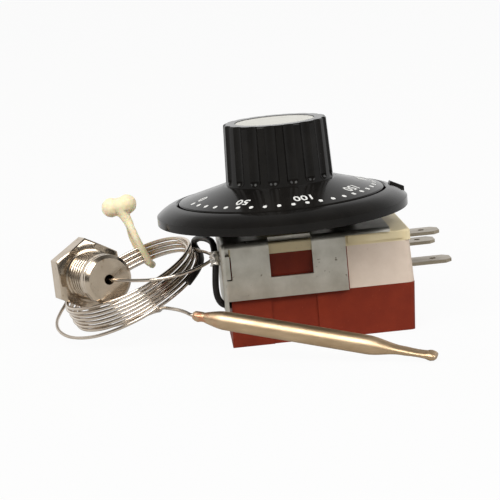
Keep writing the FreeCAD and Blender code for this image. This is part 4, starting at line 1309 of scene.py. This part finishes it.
@dataclass
class Bulb:
    """The tinned bulb: braze bead, cone, barrel, taper and a crimped flat tip."""

    start: Point = BULB_START
    end: Point = BULB_END
    barrel: float = 2.15
    tip_wide: float = 1.7
    tip_thin: float = 0.95
    profile: tuple[tuple[float, float], ...] = ((0.0, 0.5), (0.1, 0.8), (0.6, 1.12), (1.4, 1.22), (2.2, 1.15),
                                                (2.8, 1.12), (3.4, 1.3), (4.8, 1.66), (6.4, 2.0), (7.4, 2.13),
                                                (8.4, 2.15))
    taper_from: float = 41.5
    taper_to: float = 49.6
    crimp_at: float = 50.3
    crimp_length: float = 5.4
    crimp_dip: float = 0.16
    crimp_wave: float = 0.14
    crimp_fold: float = 0.13
    tip_lip: float = 0.22
    braze_lump: float = 0.11
    stations: tuple[float, ...] = (0.0, 0.1, 0.3, 0.6, 1.0, 1.4, 1.8, 2.2, 2.5, 2.8, 3.1, 3.4, 4.1, 4.8,
                                   5.6, 6.4, 6.9, 7.4, 7.9, 8.4)
    segments: int = 48

    def radius(self, along: float) -> float:
        """Give the round part's radius.

        Args:
            along: Distance from the start.

        Returns:
            The radius in millimetres.
        """
        for (first, low), (second, high) in zip(self.profile, self.profile[1:]):
            if along <= second:
                return low + (high - low) * (along - first) / (second - first)
        return self.barrel

    def section(self, along: float, length: float) -> tuple[float, float]:
        """Give the half sizes across the flat and through it.

        Args:
            along: Distance from the start.
            length: The bulb's length.

        Returns:
            Wide and thin half sizes.
        """
        if along < self.taper_from:
            return self.radius(along), self.radius(along)
        share = Capillary.eased((along - self.taper_from) / (self.taper_to - self.taper_from))
        wide = self.barrel + (self.tip_wide - self.barrel) * share
        thin = self.barrel + (self.tip_thin - self.barrel) * share
        crimp = (along - self.crimp_at) / self.crimp_length
        if 0.0 < crimp < 1.0:
            thin -= self.crimp_dip * math.sin(math.pi * crimp)
        end = length - along
        if crimp > 0.0:
            wide += self.crimp_wave * math.sin(5.2 * along) * min(1.0, crimp * 3)
        if 0.3 < end < 2.2:
            thin += self.tip_lip * math.sin(math.pi * (end - 0.3) / 1.9)
        if end < 0.35:
            wide -= (0.35 - end) * 0.6
            thin -= (0.35 - end) * 0.8
        return wide, thin

    def fill(self, bm: bmesh.types.BMesh) -> None:
        """Fill a bmesh with the bulb.

        Args:
            bm: The empty bmesh.
        """
        start, end = Vector(self.start), Vector(self.end)
        length = (end - start).length
        stations = [*self.stations, *(9 + 2.5 * index for index in range(13))]
        stations += [self.taper_from + 0.54 * index for index in range(28)]
        stations = [station for station in stations if station < length - 0.4]
        stations += [length - 0.35, length - 0.15, length]
        rings = []
        for along in stations:
            wide, thin = self.section(along, length)
            lump = self.braze_lump * max(0.0, 1.0 - abs(along - 1.3) / 1.5)
            ring = []
            for index in range(self.segments):
                turn = 2 * math.pi * index / self.segments
                swell = 1 + lump * math.sin(3 * turn + 2.1 * along) * math.cos(2 * turn - 1.3 * along)
                groove = 0.0
                if self.crimp_at < along < length - 0.3:
                    groove = self.crimp_fold * math.exp(-((math.sin(turn) * wide - 0.25) / 0.16) ** 2)
                ring.append(bm.verts.new((thin * math.cos(turn) * swell
                                          - math.copysign(groove, math.cos(turn)),
                                          wide * math.sin(turn) * swell, along)))
            rings.append(ring)
        bridge(bm, rings)
        bm.faces.new(rings[0])
        bm.faces.new(rings[-1])
        lay_along(bm, self.start, end - start, (0, 0, 1))

    def build(self, finishes: dict[str, bpy.types.Material]) -> None:
        """Build the bulb.

        Args:
            finishes: Materials by slot name.
        """
        mesh = mesh_from(self.fill, "bulb_body", 50)
        add_piece("bulb_body", mesh, finishes["bulb_metal"], Body.FIXED, ["bulb"])


# Dressing of the solids


@dataclass
class Dressing:
    """Gives each solid of the switch its finish."""

    record: dict

    def build(self, finishes: dict[str, bpy.types.Material]) -> None:
        """Assign materials by the record's slots.

        Args:
            finishes: Materials by slot name.
        """
        for entry in self.record["subparts"]:
            node = frame["nodes"][entry["node"]]
            for slot in node.material_slots:
                slot.material = finishes[entry["material_slot"]]
        LOG.info("dressed %d solids", len(self.record["subparts"]))


def main() -> None:
    """Build the scene, piece by piece."""
    logging.basicConfig(level=logging.INFO, format="%(name)s: %(message)s")
    finishes = make_finishes()
    Studio().build()
    Dressing(frame["record"]).build(finishes)
    Capillary().build(finishes)
    Gland().build(finishes)
    CoilTie().build(finishes)
    Bulb().build(finishes)
    DialPrint().build(finishes)


if __name__ == "__main__":
    main()
